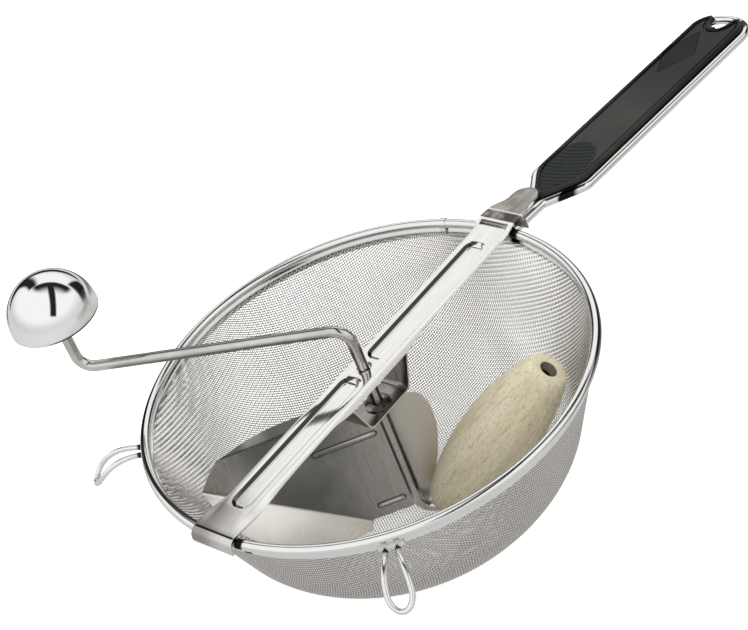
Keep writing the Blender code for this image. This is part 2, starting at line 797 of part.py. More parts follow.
def build_bearing(hinge):
    foot = BAR_RISE - GROOVE_DEPTH - GAP - BEARING_SHEET / 2
    plate = -BEARING_DEPTH - BEARING_SHEET / 2
    half_plate = BEARING_PLATE / 2
    corners = [(-BEARING_FOOT, 0, foot), (-BEARING_SPREAD, 0, foot), (-half_plate, 0, plate),
               (half_plate, 0, plate), (BEARING_SPREAD, 0, foot), (BEARING_FOOT, 0, foot)]
    path = filleted(corners, (2 * BEARING_BEND, BEARING_BEND, BEARING_BEND, 2 * BEARING_BEND), 4)
    half = BAR_HALF - BAR_SHEET / 2 - GAP - GAP
    bracket = strip("bearing_bracket", path, half, BEARING_SHEET)
    hole = drill("bearing_hole", BORE_RADIUS, BEARING_SHEET + CUT_OVER, (0, 0, plate))
    boolean(bracket, hole)
    finish(bracket, STEEL, hinge)


# The roller's seat: the axle's lean is the one that brings the barrel to the cloth

FOOT_CENTRE = Vector((FOOT_BEND, FOOT_CLEAR + ROD_RADIUS + FOOT_BEND - FLOOR_DEPTH))


def barrel_radius(share):
    """Radius of the barrel at a share of its length."""
    middle = abs(2 * share - 1)
    return ROLLER_END + (ROLLER_RADIUS - ROLLER_END) * (1 - middle ** 2.2)


def axle_line(lean):
    """Tangent point and direction of the axle for a lean from the vertical."""
    direction = Vector((math.sin(lean), math.cos(lean)))
    outward = Vector((math.cos(lean), -math.sin(lean)))
    return FOOT_CENTRE + outward * FOOT_BEND, direction, outward


def seat_gap(lean):
    """Least gap from the barrel to the cloth in the axle's plane; negative once through."""
    tangent, direction, outward = axle_line(lean)
    least = None
    count = 24
    for step in range(count + 1):
        share = step / count
        point = (tangent + direction * (ROLLER_START + ROLLER_LENGTH * share)
                 + outward * barrel_radius(share))
        gap = wall_gap(point, INNER_LINE)
        gap = gap if inside_bowl(point, INNER_LINE) else -gap
        least = gap if least is None else min(least, gap)
    return least


def seated_lean():
    """The lean, by halving, at which the barrel stands its seat gap off the cloth."""
    upright, flat = math.radians(20.0), math.radians(65.0)
    for _ in range(30):
        middle = (upright + flat) / 2
        if seat_gap(middle) > ROLLER_SEAT:
            upright = middle
        else:
            flat = middle
    return upright


LEAN = seated_lean()
AXLE_TANGENT, AXLE_RUN, AXLE_OUT = axle_line(LEAN)
ARM_FRAME = Matrix.Rotation(math.radians(ARM_AZIMUTH), 4, "Z")
STEM_TOP = KNOB_BASE + KNOB_LAND + BUSH_HEIGHT + GAP + NUT_SHEET + NUT_DISH + GAP
AXLE_END = ROLLER_START + ROLLER_LENGTH - AXLE_SHY


def axle_point(along):
    """A point on the axle in the crank's own frame, measured from the tangent point."""
    point = AXLE_TANGENT + AXLE_RUN * along
    return Vector((-point.x, 0, point.y))


def build_rod(crank):
    upper = filleted([(ARM_REACH, 0, STEM_TOP), (ARM_REACH, 0, ARM_HEIGHT), (0, 0, ARM_HEIGHT),
                      (0, 0, FOOT_CENTRE.y)], (STEM_BEND, ARM_BEND), 6)
    turn = []
    sweep = math.pi - LEAN
    count = 9
    for step in range(1, count):
        angle = math.pi + sweep * step / count
        turn.append(Vector((-(FOOT_CENTRE.x + FOOT_BEND * math.cos(angle)), 0,
                            FOOT_CENTRE.y + FOOT_BEND * math.sin(angle))))
    lower = [axle_point(0), axle_point(AXLE_END / 2), axle_point(AXLE_END)]
    rod = wire("crank_rod", upper + turn + lower, ROD_DIA, ROD_SIDES_RES)
    finish(rod, BRIGHT, crank, ARM_FRAME)


def dished(radius, bore):
    """Profile of a push nut: a thin ring dished up to its bore."""
    return [(bore, NUT_DISH + NUT_SHEET), (radius, NUT_SHEET), (radius, 0), (bore, NUT_DISH)]


def flat_ring(radius, bore, thick):
    return [(bore, thick), (radius, thick), (radius, 0), (bore, 0)]


def on_axle(along):
    """World frame standing on the axle, Z along it."""
    return (ARM_FRAME @ Matrix.Translation(axle_point(along))
            @ Matrix.Rotation(-LEAN, 4, "Y"))


def build_fasteners(crank):
    nut = turned("bearing_push_nut", dished(NUT_RADIUS, BORE_RADIUS), SMALL_STEPS, closed=True)
    finish(nut, STEEL, crank, Matrix.Translation((0, 0, GAP - BEARING_DEPTH)))

    washer = turned("thrust_washer", flat_ring(NUT_RADIUS, BORE_RADIUS, WASHER_THICK),
                    SMALL_STEPS, closed=True)
    finish(washer, STEEL, crank, Matrix.Translation((0, 0, -BEARING_UNDER)))

    low = ROLLER_START - GAP - WASHER_THICK
    stop = turned("roller_washer", flat_ring(WASHER_RADIUS, BORE_RADIUS, WASHER_THICK),
                  SMALL_STEPS, closed=True)
    finish(stop, STEEL, crank, on_axle(low))

    cap = turned("axle_push_nut", dished(AXLE_NUT_RADIUS, BORE_RADIUS), SMALL_STEPS,
                 closed=True)
    seat = ROLLER_START + ROLLER_LENGTH - COUNTERBORE_DEPTH + GAP
    finish(cap, STEEL, crank, on_axle(seat))

    stem = turned("stem_push_nut", dished(STEM_NUT_RADIUS, BORE_RADIUS), SMALL_STEPS, closed=True)
    place = Matrix.Translation((ARM_REACH, 0, KNOB_BASE + KNOB_LAND + BUSH_HEIGHT + GAP))
    finish(stem, STEEL, crank, ARM_FRAME @ place)


def build_roller(roller):
    profile = [(COUNTERBORE_RADIUS, ROLLER_LENGTH)]
    count = 16
    for step in range(count + 1):
        share = 1 - step / count
        profile.append((barrel_radius(share), ROLLER_LENGTH * share))
    top = profile.pop(1)
    bottom = profile.pop()
    profile.insert(1, (top[0] - ROLLER_ROUND, ROLLER_LENGTH))
    profile.insert(2, (top[0] + ROLLER_ROUND / 4, ROLLER_LENGTH - ROLLER_ROUND))
    profile.append((bottom[0] + ROLLER_ROUND / 4, ROLLER_ROUND))
    profile.append((bottom[0] - ROLLER_ROUND, 0))
    shoulder = ROLLER_LENGTH - COUNTERBORE_DEPTH
    profile += [(BORE_RADIUS, 0), (BORE_RADIUS, shoulder), (COUNTERBORE_RADIUS, shoulder)]
    barrel = turned("wooden_roller", profile, ROLLER_STEPS, closed=True)
    finish(barrel, WOOD, roller, on_axle(ROLLER_START))


# The blade, drawn in its own plane: out along the blade, back from the viewer's side, up

BLADE_BACK = ROD_RADIUS + GAP + BLADE_SHEET / 2
BLADE_FRAME = Matrix.Rotation(math.radians(BLADE_AZIMUTH), 4, "Z")
LIP_LINE = bowl_side(-CLOTH_THICK / 2 - LIP_CLEAR - BLADE_SHEET / 2, 24)
LIP_LINE.append(Vector((0, LIP_LINE[-1].y)))


def blade_point(out, up, back=0):
    """Blade coordinates to the crank's frame before its azimuth; back is away from the rod."""
    return Vector((out, -BLADE_BACK - back, up))


def reach_to_wall(start, run):
    """How far a point can go along a direction before the lip's clearance line."""
    near, far = 0.0, RIM_RADIUS
    for _ in range(30):
        middle = (near + far) / 2
        point = start + run * middle
        radius = math.hypot(point.x, point.y)
        if inside_bowl(Vector((radius, point.z)), LIP_LINE) and point.z > LIP_LINE[-1].y:
            near = middle
        else:
            far = middle
    return near


def build_blade(crank):
    reach = line_radius(-BLADE_FOLD_DEPTH, INNER_LINE) - BLADE_FOLD_CLEAR
    fold_out = blade_point(reach, -BLADE_FOLD_DEPTH)
    fold_in = blade_point(BLADE_TOE, BLADE_TOE_LIFT - FLOOR_DEPTH)
    crease_reach = line_radius(-BLADE_CREASE_DEPTH, INNER_LINE) - BLADE_CREASE_CLEAR
    crease_out = blade_point(crease_reach, -BLADE_CREASE_DEPTH)
    top_depth = BEARING_UNDER + BLADE_TOP_CLEAR
    heel_depth = FLOOR_DEPTH - BLADE_HEEL_LIFT
    crease_in = blade_point(BLADE_CREASE_IN, -BLADE_CREASE_DEPTH)
    folds = 8
    fold_line = [fold_out.lerp(fold_in, step / folds) for step in range(folds + 1)]
    crease = [crease_in.lerp(crease_out, step / 4) for step in range(5)]
    wing_shares = ((0.45, 0.0), (0.73, 0.04), (0.93, 0.33), (1.0, 1.0))
    wing = []
    for out_share, down_share in wing_shares:
        height = top_depth + (BLADE_WING_DEPTH - top_depth) * down_share
        wing.append(blade_point(-BLADE_WING * out_share, -height))
    low_shares = ((0.96, 0.2), (0.78, 0.48), (0.52, 0.75))
    for out_share, down_share in low_shares:
        height = BLADE_WING_DEPTH + (heel_depth - BLADE_WING_DEPTH) * down_share
        wing.append(blade_point(-BLADE_WING * out_share, -height))
    face = crease + [crease_out.lerp(fold_out, 0.5) + Vector((GAP, 0, GAP))] + fold_line
    face += [blade_point(-BLADE_HEEL, -heel_depth)] + wing[::-1]
    face += [blade_point(BLADE_SHOULDER, -top_depth)]

    bm = bmesh.new()
    face_verts = [bm.verts.new(point) for point in face]
    bm.faces.new(face_verts)

    tilt = math.radians(FLANGE_TILT)
    rise = Vector((0, -math.sin(tilt), math.cos(tilt)))
    crease_verts = face_verts[:5]
    tops = []
    for vert, share in zip(crease_verts[:4], (1.0, 1.05, 0.95, 0.6)):
        tops.append(bm.verts.new(vert.co + rise * (FLANGE_WIDTH * share)))
    bm.faces.new(crease_verts[::-1] + tops)

    run = (fold_in - fold_out).normalized()
    across = Vector((-run.z, 0, run.x))
    across = across if across.z < 0 else -across
    tilt = math.radians(LIP_TILT)
    fall = across * math.cos(tilt) + Vector((0, math.sin(tilt), 0))
    fold_verts = face_verts[6:7 + folds]
    lows = []
    for vert in fold_verts:
        lows.append(bm.verts.new(vert.co + fall * reach_to_wall(vert.co.copy(), fall)))
    bm.faces.new(fold_verts[::-1] + lows)
    blade = mesh_object("blade_raw", bm, CUTTERS)
    solidify(blade, BLADE_SHEET)
    blade.name = "blade"
    CUTTERS.objects.unlink(blade)
    PARTS.objects.link(blade)

    ribs = (("top_rib", TOP_RIB_IN, TOP_RIB_OUT, TOP_RIB_DEPTH),
            ("low_rib", LOW_RIB_IN, LOW_RIB_OUT, FLOOR_DEPTH - LOW_RIB_LIFT))
    for name, start, end, depth in ribs:
        rib = rib_body(name, start, end, depth)
        boolean(blade, rib, "UNION")
    finish(blade, STEEL, crank, BLADE_FRAME)
    for name, _, _, _ in ribs:
        bpy.data.objects[name].matrix_world = BLADE_FRAME


def rib_body(name, start, end, depth):
    """A rounded bar sunk in the blade's front face, the pressed rib's outside."""
    bm = bmesh.new()
    bmesh.ops.create_cone(bm, cap_ends=True, segments=12, radius1=RIB_DIA / 2,
                          radius2=RIB_DIA / 2, depth=end - start - RIB_DIA)
    bmesh.ops.rotate(bm, verts=bm.verts, cent=(0, 0, 0),
                     matrix=Matrix.Rotation(math.pi / 2, 3, "Y"))
    for face in [face for face in bm.faces if len(face.verts) > 4]:
        bmesh.ops.inset_individual(bm, faces=[face], thickness=RIB_DIA / 4, depth=RIB_DIA / 3)
    sunk = BLADE_SHEET / 2 - RIB_DIA / 2 + RIB_DIA * RIB_PROUD_SHARE / 2
    centre = blade_point((start + end) / 2, -depth, -sunk)
    bmesh.ops.translate(bm, verts=bm.verts, vec=centre)
    made = mesh_object(name, bm, CUTTERS)
    made.hide_render = True
    made.display_type = "WIRE"
    return made


def build_knob(knob):
    dome = []
    count = 10
    wall = KNOB_HEIGHT - KNOB_LAND
    for step in range(count + 1):
        angle = math.pi / 2 * (1 - step / count)
        dome.append((KNOB_RADIUS * math.cos(angle), KNOB_LAND + wall * math.sin(angle)))
    dome.append((KNOB_RADIUS, 0))
    inner = []
    for step in range(count + 1):
        angle = math.pi / 2 * step / count
        inner.append(((KNOB_RADIUS - KNOB_SHEET) * math.cos(angle),
                      KNOB_LAND + (wall - KNOB_SHEET) * math.sin(angle)))
    dome = [(0 if step == 0 else point[0], point[1]) for step, point in enumerate(dome)]
    inner[-1] = (0, inner[-1][1])
    profile = dome + [(KNOB_RADIUS - KNOB_SHEET, 0)] + inner
    shell = turned("knob_dome", profile, KNOB_STEPS, closed=False)
    place = ARM_FRAME @ Matrix.Translation((ARM_REACH, 0, KNOB_BASE))
    finish(shell, BRIGHT, knob, place)

    base_top = KNOB_LAND - GAP
    base = turned("knob_base", [(BUSH_RADIUS + GAP, base_top),
                                (KNOB_RADIUS - KNOB_SHEET - GAP, base_top),
                                (KNOB_RADIUS - KNOB_SHEET - GAP, base_top - KNOB_SHEET),
                                (BUSH_RADIUS + GAP, base_top - KNOB_SHEET)],
                  KNOB_STEPS, closed=True)
    finish(base, BRIGHT, knob, place)

    flange = base_top + GAP
    bush = turned("knob_bush", [(BORE_RADIUS, KNOB_LAND + BUSH_HEIGHT),
                                (BUSH_RADIUS, KNOB_LAND + BUSH_HEIGHT),
                                (BUSH_RADIUS, flange + WASHER_THICK),
                                (BUSH_FLANGE, flange + WASHER_THICK),
                                (BUSH_FLANGE, flange), (BUSH_RADIUS, flange),
                                (BUSH_RADIUS, 0), (BORE_RADIUS, 0)], SMALL_STEPS, closed=True)
    finish(bush, NYLON, knob, place)


def main():
    build_sieve()
    build_pot_hooks()
    build_handle()
    hinge = empty("crossbar_hinge", Matrix.Translation((HINGE_X, 0, HINGE_Z)))
    crank = empty("crank_axis", Matrix.Identity(4), hinge)
    roller = empty("roller_axis", on_axle(ROLLER_START), crank)
    knob = empty("knob_axis", ARM_FRAME @ Matrix.Translation((ARM_REACH, 0, KNOB_BASE)), crank)
    build_crossbar(hinge)
    build_bearing(hinge)
    build_rod(crank)
    build_fasteners(crank)
    build_blade(crank)
    build_roller(roller)
    build_knob(knob)
    for obj in bpy.data.objects:
        if obj.parent is None:
            obj.matrix_world = Matrix.Translation((0, 0, BOWL_DEPTH)) @ obj.matrix_world
    print("axle lean", math.degrees(LEAN), "axle", axle_point(ROLLER_START) / MM)


main()
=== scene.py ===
"""Rotary sieve food mill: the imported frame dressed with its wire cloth, polished steel,
stamped sheet, wooden roller and moulded grip.

Sizes are in millimetres. Pieces are drawn with the rim bead's centre line in z = 0 and are
lifted onto the frame, whose zero is the bowl's flat bottom, when their place is applied.
Masks in the materials read millimetres too: from the frame's zero, or in a piece's own frame
where they are given one.
"""

import math

import bmesh
import bpy
import numpy as np
from mathutils import Matrix, Vector


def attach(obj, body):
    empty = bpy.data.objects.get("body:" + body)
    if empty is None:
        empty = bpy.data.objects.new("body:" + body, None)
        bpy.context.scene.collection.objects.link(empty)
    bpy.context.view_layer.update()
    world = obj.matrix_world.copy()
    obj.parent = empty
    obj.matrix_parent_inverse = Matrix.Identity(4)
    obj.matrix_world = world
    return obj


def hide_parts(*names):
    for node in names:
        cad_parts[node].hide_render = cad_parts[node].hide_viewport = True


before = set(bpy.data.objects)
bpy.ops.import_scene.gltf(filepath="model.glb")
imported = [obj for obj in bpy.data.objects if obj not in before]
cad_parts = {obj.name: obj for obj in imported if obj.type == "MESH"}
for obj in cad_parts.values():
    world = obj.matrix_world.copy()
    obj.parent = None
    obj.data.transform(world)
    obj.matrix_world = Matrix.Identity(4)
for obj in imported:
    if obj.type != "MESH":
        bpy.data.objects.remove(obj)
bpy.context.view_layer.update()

MM = 0.001
GAP = 0.3
DRILL_LENGTH = 6.0

# Rim
RIM_RADIUS = 100.0
RIM_HEIGHT = 87.0
BEAD_RADIUS = 2.25
BINDING_SHEET = 0.5
BINDING_SKIRT = 4.2
BINDING_LIP = 1.5
SEAM_AZIMUTH = 18.3
SEAM_WIDTH = 3.0
SEAM_PROUD = 0.28

# Bowl
CLOTH_THICK = 0.8
WALL_DEPTH = 45.0
DRAFT = math.radians(20.7)
BOWL_FLAT = 16.0
WALL_PULL_SHARE = 0.43
FLOOR_PULL_SHARE = 0.42

# Wire cloth: a plain weave, pulled over the form
WEAVE_PITCH = 1.16
WEAVE_TURN = math.radians(57.5)
WIRE_HALF_WIDE = 0.215
WIRE_HALF_THICK = 0.2
CRIMP = 0.19
WEAVE_COUNT = 132
CLOTH_SPARE = 40.0
CLOTH_PARTS = 3
POLE_ZONE = 30.0
NUDGE = 1e-3
NUDGE_TURN = 1e-5

# Shallow folds under the rim, where the cloth closes: places are azimuths in degrees
DRAW_START = 92.0
DRAW_SWEEP = 70.0
DRAW_FIRST = 88.0
DRAW_LAST = 176.0
DRAW_LEAD = 3.0
DRAW_HEIGHT = 0.27
DRAW_SWELL = 0.12

# Crossbar
BAR_SHEET = 1.0
BAR_HALF = 8.5
BAR_BEND = 1.3
BAR_FLANGE = 3.2
BAR_FLANGE_FAR = 1.6
FLANGE_TAPER_START = -98.0
FLANGE_TAPER = 50.0
MID_FLANGE = 2.2
MID_FLANGE_RUNOUT = 14.0
FOLD_START = 97.0
FOLD_RUNOUT = 34.0
FAR_FOLD_START = 99.5
FAR_FOLD_RUNOUT = 12.0
GROOVE_END = 86.5
GROOVE_PAD = 6.0
GROOVE_LIP = 5.1
GROOVE_FLOOR = 3.7
GROOVE_DEPTH = 1.6
GROOVE_TIP_SHARE = 0.25
HOOK_BORE = 3.6
HOOK_WRAP = 115.0
HINGE = Vector((-99.7, -1.05))
BAR_RISE = 2.55
BAR_MID = BAR_RISE + BAR_SHEET / 2
BAR_CLOSEST = 0.12
TAB_CREASE = 108.4
TAB_CREASE_HALF = 0.3
TAB_LENGTH = 20.5
STEP_UP = 96.5
STEP_TOP = 101.2
STEP_HEIGHT = 0.85
TAB_DROP = 2.2
TAB_CROWN = 0.35
TAB_FALL = 0.75
TAB_TIP_HALF = 6.2
TAB_ROUND_SHARE = 0.7
LATCH_X = 107.8
LATCH_FOOT = 5.0
LATCH_LEG = 5.2
LATCH_HALF = 11.5
LATCH_SHEET = 0.8

# Bearing bracket
BEARING_SHEET = 1.0
BEARING_DEPTH = 17.5
BEARING_PLATE = 26.6
BEARING_SPREAD = 20.0
BEARING_FOOT = 37.0
BEARING_BEND = 3.0
BEARING_HALF = 7.4

# Crank rod, axle and roller
ROD_RADIUS = 2.5
BORE_RADIUS = 2.8
ARM_HEIGHT = 25.6
ARM_REACH = 123.0
ARM_TURN = math.radians(119.7)
STEM_TOP = 69.6
STEM_BEND = 7.0
ARM_BEND = 8.0
FOOT_BEND = 7.0
FOOT_HEIGHT = -75.7
AXLE_LEAN = math.radians(43.16938)
AXLE_END = 91.9
NUT_RADIUS = 6.0
NUT_SHEET = 0.6
NUT_DISH = 0.8
ROLLER_START = 1.5
ROLLER_LENGTH = 94.0
ROLLER_RADIUS = 16.6
ROLLER_END = 9.0
ROLLER_ROUND = 1.6
COUNTERBORE_RADIUS = 3.9
COUNTERBORE_DEPTH = 6.0

# Blade
BLADE_SHEET = 0.8
BLADE_TURN = math.radians(140.0)
BLADE_BACK = 3.2
FOLD_OUT = Vector((85.56, -31.0))
FOLD_IN = Vector((22.0, -82.0))
CREASE_DEPTH = 18.5
CREASE_IN = 27.0
CREASE_OUT = 74.88
LIP_WAY = Vector((FOLD_OUT.y - FOLD_IN.y, FOLD_IN.x - FOLD_OUT.x)).normalized()
FLANGE_WIDTH = 5.6
FLANGE_TILT = math.radians(45.0)
LIP_TILT = math.radians(50.0)
LIP_CLEAR = 1.0
SHEET_BEND = 1.6
RIBS = ((5.6, 36.0, -34.5), (4.6, 18.0, -75.3))
WING = 20.5
WING_TOP = -20.4
WING_DEPTH = -35.0
WING_NOTCH = 17.0
HEEL = Vector((-5.0, -82.3))
RIB_HALF = 1.6
RIB_PROUD = 1.1
LIP_STEPS = 16
BLANK_SIZE = (120.0, 92.0)
BLANK_MIDDLE = Vector((36.0, -48.0))
BLANK_CELL = 0.8
PUNCH_HALF = 3.0

# Knob
KNOB_BASE = 55.5
KNOB_RADIUS = 19.975
KNOB_HEIGHT = 21.2
KNOB_SHEET = 0.8
KNOB_LAND = 1.4
HEM_SHADE_WAY = Vector((0.619, -0.785))

# Pot hooks
HOOK_WIRE = 2.5
HOOKS = (("left", math.radians(134.0)), ("front", math.radians(223.5)))
HOOK_REACH = 26.5
HOOK_DROP = 8.5
HOOK_RISE = 2.0
HOOK_ROOT_HALF = 2.5
HOOK_EYE_HALF = 4.9
HOOK_DEPTH = 4.7
CLIP_SHEET = 0.8

# Handle
HANDLE_WIRE = 4.5
HANDLE_DROOP = math.radians(5.0)
HANDLE_DEPTH = 5.2
HANDLE_START = 1.6
NECK_HALF = 2.6
NECK = 28.5
FLARE = 19.5
HANDLE_HALF = 14.8
STRAIGHT = 137.5
GRIP_LIP_COVER = 1.2
GRIP_RECESS_RIM = 2.0
GRIP_RECESS_DEPTH = 0.6
GRIP_TOP = 4.6
GRIP_BOTTOM = 4.0
GRIP_NOSE = 2.0
GRIP_PRONG = math.radians(36.0)
GRIP_NOTCH_HALF = 5.2
GRIP_NOTCH_MOUTH = 9.0
GRIP_NOTCH_SET = 1.4
GRIP_CORNER = 5.0
GRIP_CORNER_FAR = 8.0
RIDGE_PITCH = 2.9

# Camera: the photograph's own view, found from the rim and the crank axis
CAMERA_AZIMUTH = -0.6656837527
CAMERA_ELEVATION = 0.6409733050
CAMERA_ROLL = -0.3838790223
CAMERA_SIDE = 3.473014792
CAMERA_RISE = 25.04386760
CAMERA_DISTANCE = 838.7244
CAMERA_LENS = 95.03
LAMP_TARGET = Vector((0, 0, 0.05))
BACK_WAY = Vector((-math.sin(CAMERA_AZIMUTH), math.cos(CAMERA_AZIMUTH)))

LIFT = Matrix.Translation((0, 0, RIM_HEIGHT * MM))


# Modelling by operators

def clear_selection():
    if bpy.context.object and bpy.context.object.mode != "OBJECT":
        bpy.ops.object.mode_set(mode="OBJECT")
    bpy.ops.object.select_all(action="DESELECT")


def only(obj):
    clear_selection()
    obj.select_set(True)
    bpy.context.view_layer.objects.active = obj


def edit(obj):
    only(obj)
    bpy.ops.object.mode_set(mode="EDIT")
    bpy.ops.mesh.select_all(action="SELECT")


def pick(obj, test):
    """In edit mode, selects the vertices that pass a test."""
    mesh = bmesh.from_edit_mesh(obj.data)
    bpy.ops.mesh.select_mode(type="VERT")
    bpy.ops.mesh.select_all(action="DESELECT")
    for vert in mesh.verts:
        if test(vert):
            vert.select_set(True)
    mesh.select_flush_mode()
    bmesh.update_edit_mesh(obj.data)


def tidy(obj, spread=2e-6):
    """Merges doubles, turns the faces outwards and leaves edit mode."""
    edit(obj)
    bpy.ops.mesh.remove_doubles(threshold=spread)
    bpy.ops.mesh.normals_make_consistent(inside=False)
    bpy.ops.object.mode_set(mode="OBJECT")
    return obj


def line(name, points, closed=False):
    """A chain of edges: one vertex extruded from point to point. Stays in edit mode."""
    points = [Vector(point) * MM for point in points]
    clear_selection()
    bpy.ops.mesh.primitive_plane_add(size=MM, location=points[0])
    obj = bpy.context.object
    obj.name = name
    obj.data.name = name
    bpy.ops.object.transform_apply(location=True, rotation=True, scale=True)
    edit(obj)
    bpy.ops.mesh.merge(type="CENTER")
    for before, after in zip(points, points[1:]):
        bpy.ops.mesh.extrude_region_move(TRANSFORM_OT_translate={"value": after - before})
    if closed:
        ends = (points[0], points[-1])
        pick(obj, lambda vert: min((vert.co - end).length for end in ends) < 1e-7)
        bpy.ops.mesh.edge_face_add()
    bpy.ops.mesh.select_all(action="SELECT")
    return obj


def modify(obj, kind, **settings):
    """Adds a modifier, sets it and applies it."""
    only(obj)
    made = obj.modifiers.new(kind.title(), kind)
    for key, value in settings.items():
        setattr(made, key, value)
    bpy.ops.object.modifier_apply(modifier=made.name)
    return obj


def smooth(obj, degrees):
    only(obj)
    bpy.ops.object.shade_smooth_by_angle(angle=math.radians(degrees))
    return obj


def place(obj, matrix=Matrix.Identity(4)):
    """Puts a piece in its place on the frame and applies it to the mesh."""
    only(obj)
    obj.matrix_world = LIFT @ matrix @ obj.matrix_world
    bpy.ops.object.transform_apply(location=True, rotation=True, scale=True)
    return obj


def wire(name, points, diameter, sides=5):
    """A bent wire: a drawn line made a curve, given its round section and made a mesh."""
    line(name, points)
    bpy.ops.object.mode_set(mode="OBJECT")
    bpy.ops.object.convert(target="CURVE")
    curve = bpy.context.object.data
    curve.dimensions = "3D"
    curve.bevel_depth = diameter / 2 * MM
    curve.bevel_resolution = sides
    curve.use_fill_caps = True
    bpy.ops.object.convert(target="MESH")
    obj = bpy.context.object
    obj.name = name
    return smooth(tidy(obj), 50)


def spun(name, profile, steps, closed=False, degrees=35, turn=math.tau, start=0.0):
    """A turned piece: a drawn (radius, height) profile spun round Z."""
    ready = [(radius * math.cos(start), radius * math.sin(start), height)
             for radius, height in profile]
    obj = line(name, ready, closed)
    if turn < math.tau:
        bpy.ops.mesh.edge_face_add()
        bpy.ops.mesh.select_all(action="SELECT")
    bpy.ops.mesh.spin(steps=steps, angle=turn, center=(0, 0, 0), axis=(0, 0, 1))
    return smooth(tidy(obj), degrees)


def strip(name, path, half, sheet):
    """A bent strip: a drawn path swept across, given its sheet and eased at its edges."""
    obj = line(name, [(x, -half, z) for x, z in path])
    bpy.ops.mesh.extrude_region_move(TRANSFORM_OT_translate={"value": (0, 2 * half * MM, 0)})
    bpy.ops.mesh.normals_make_consistent(inside=False)
    modify(obj, "SOLIDIFY", thickness=sheet * MM, offset=0, use_even_offset=True)
    break_edges(obj, 0.2, 50)
    return smooth(obj, 40)


def break_edges(obj, width, degrees):
    """Rounds the edges of a sheet that are sharper than an angle."""
    modify(obj, "BEVEL", width=width * MM, segments=2, limit_method="ANGLE",
           angle_limit=math.radians(degrees))


def drilled(obj, radius, centre):
    """Cuts a round hole on Z with a cylinder that is then deleted."""
    clear_selection()
    bpy.ops.mesh.primitive_cylinder_add(vertices=48, radius=radius * MM, depth=DRILL_LENGTH * MM,
                                        location=Vector(centre) * MM)
    cutter = bpy.context.object
    modify(obj, "BOOLEAN", operation="DIFFERENCE", solver="EXACT", object=cutter)
    bpy.data.objects.remove(cutter)


# Plan and section lines

def shares(count):
    """Even shares from 0 to 1, both included."""
    return [step / count for step in range(count + 1)]


def arc(centre, radii, start, end, count):
    """Points round an arc of a circle or an ellipse in the plane, both ends included."""
    points = []
    for share in shares(count):
        angle = start + (end - start) * share
        points.append(Vector((centre[0] + radii[0] * math.cos(angle),
                              centre[1] + radii[1] * math.sin(angle))))
    return points


def mirrored(points):
    """The same points on the other side of X, from the last to the first."""
    return [Vector((point.x, -point.y)) for point in points[::-1]]


def filleted(corners, radii, count=10):
    """Points along a path, each inner corner rounded to its radius."""
    corners = [Vector(corner) for corner in corners]
    points = [corners[0]]
    for before, corner, after, radius in zip(corners, corners[1:], corners[2:], radii):
        back = (before - corner).normalized()
        ahead = (after - corner).normalized()
        half = back.angle(ahead) / 2
        run = radius / math.tan(half)
        centre = corner + (back + ahead).normalized() * (radius / math.sin(half))
        start = corner + back * run - centre
        end = corner + ahead * run - centre
        sweep = start.angle(end)
        for share in shares(count):
            point = start * math.sin((1 - share) * sweep) + end * math.sin(share * sweep)
            points.append(centre + point / math.sin(sweep))
    points.append(corners[-1])
    return points


def eased(points, count):
    """A smooth curve through points, as a Catmull-Rom spline."""
    points = [Vector(point) for point in points]
    padded = [points[0]] + points + [points[-1]]
    out = []
    for a, b, c, d in zip(padded, padded[1:], padded[2:], padded[3:]):
        for t in shares(count)[:-1]:
            out.append(0.5 * (2 * b + (c - a) * t + (2 * a - 5 * b + 4 * c - d) * t * t
                              + (3 * b - a - 3 * c + d) * t ** 3))
    return out + [points[-1]]


def smoothstep(value):
    value = max(0.0, min(1.0, value))
    return value * value * (3 - 2 * value)


WALL_RUN = Vector((-math.sin(DRAFT), -math.cos(DRAFT)))


def bowl_line():
    """The cloth's middle line from its top edge to the axis, as (radius, height)."""
    top = Vector((RIM_RADIUS, 0)) + WALL_RUN * (BEAD_RADIUS + GAP)
    wall_end = top + WALL_RUN * ((WALL_DEPTH + top.y) / math.cos(DRAFT))
    flat = Vector((BOWL_FLAT, CLOTH_THICK / 2 - RIM_HEIGHT))
    reach = RIM_HEIGHT - WALL_DEPTH
    pull = wall_end + WALL_RUN * (WALL_PULL_SHARE * reach)
    draw = flat + Vector((FLOOR_PULL_SHARE * (wall_end.x - flat.x), 0))
    points = [top.lerp(wall_end, share) for share in shares(10)]
    for t in shares(60)[1:]:
        points.append((1 - t) ** 3 * wall_end + 3 * t * (1 - t) ** 2 * pull
                      + 3 * t * t * (1 - t) * draw + t ** 3 * flat)
    return points + [Vector((0, flat.y))]


def skirt_radius(depth):
    """Radius of the binding's outer face at a depth under the bead's centre line."""
    along = depth / math.cos(DRAFT)
    side = CLOTH_THICK / 2 + GAP + BINDING_SHEET
    return RIM_RADIUS - along * math.sin(DRAFT) + side / math.cos(DRAFT)


# Shaders

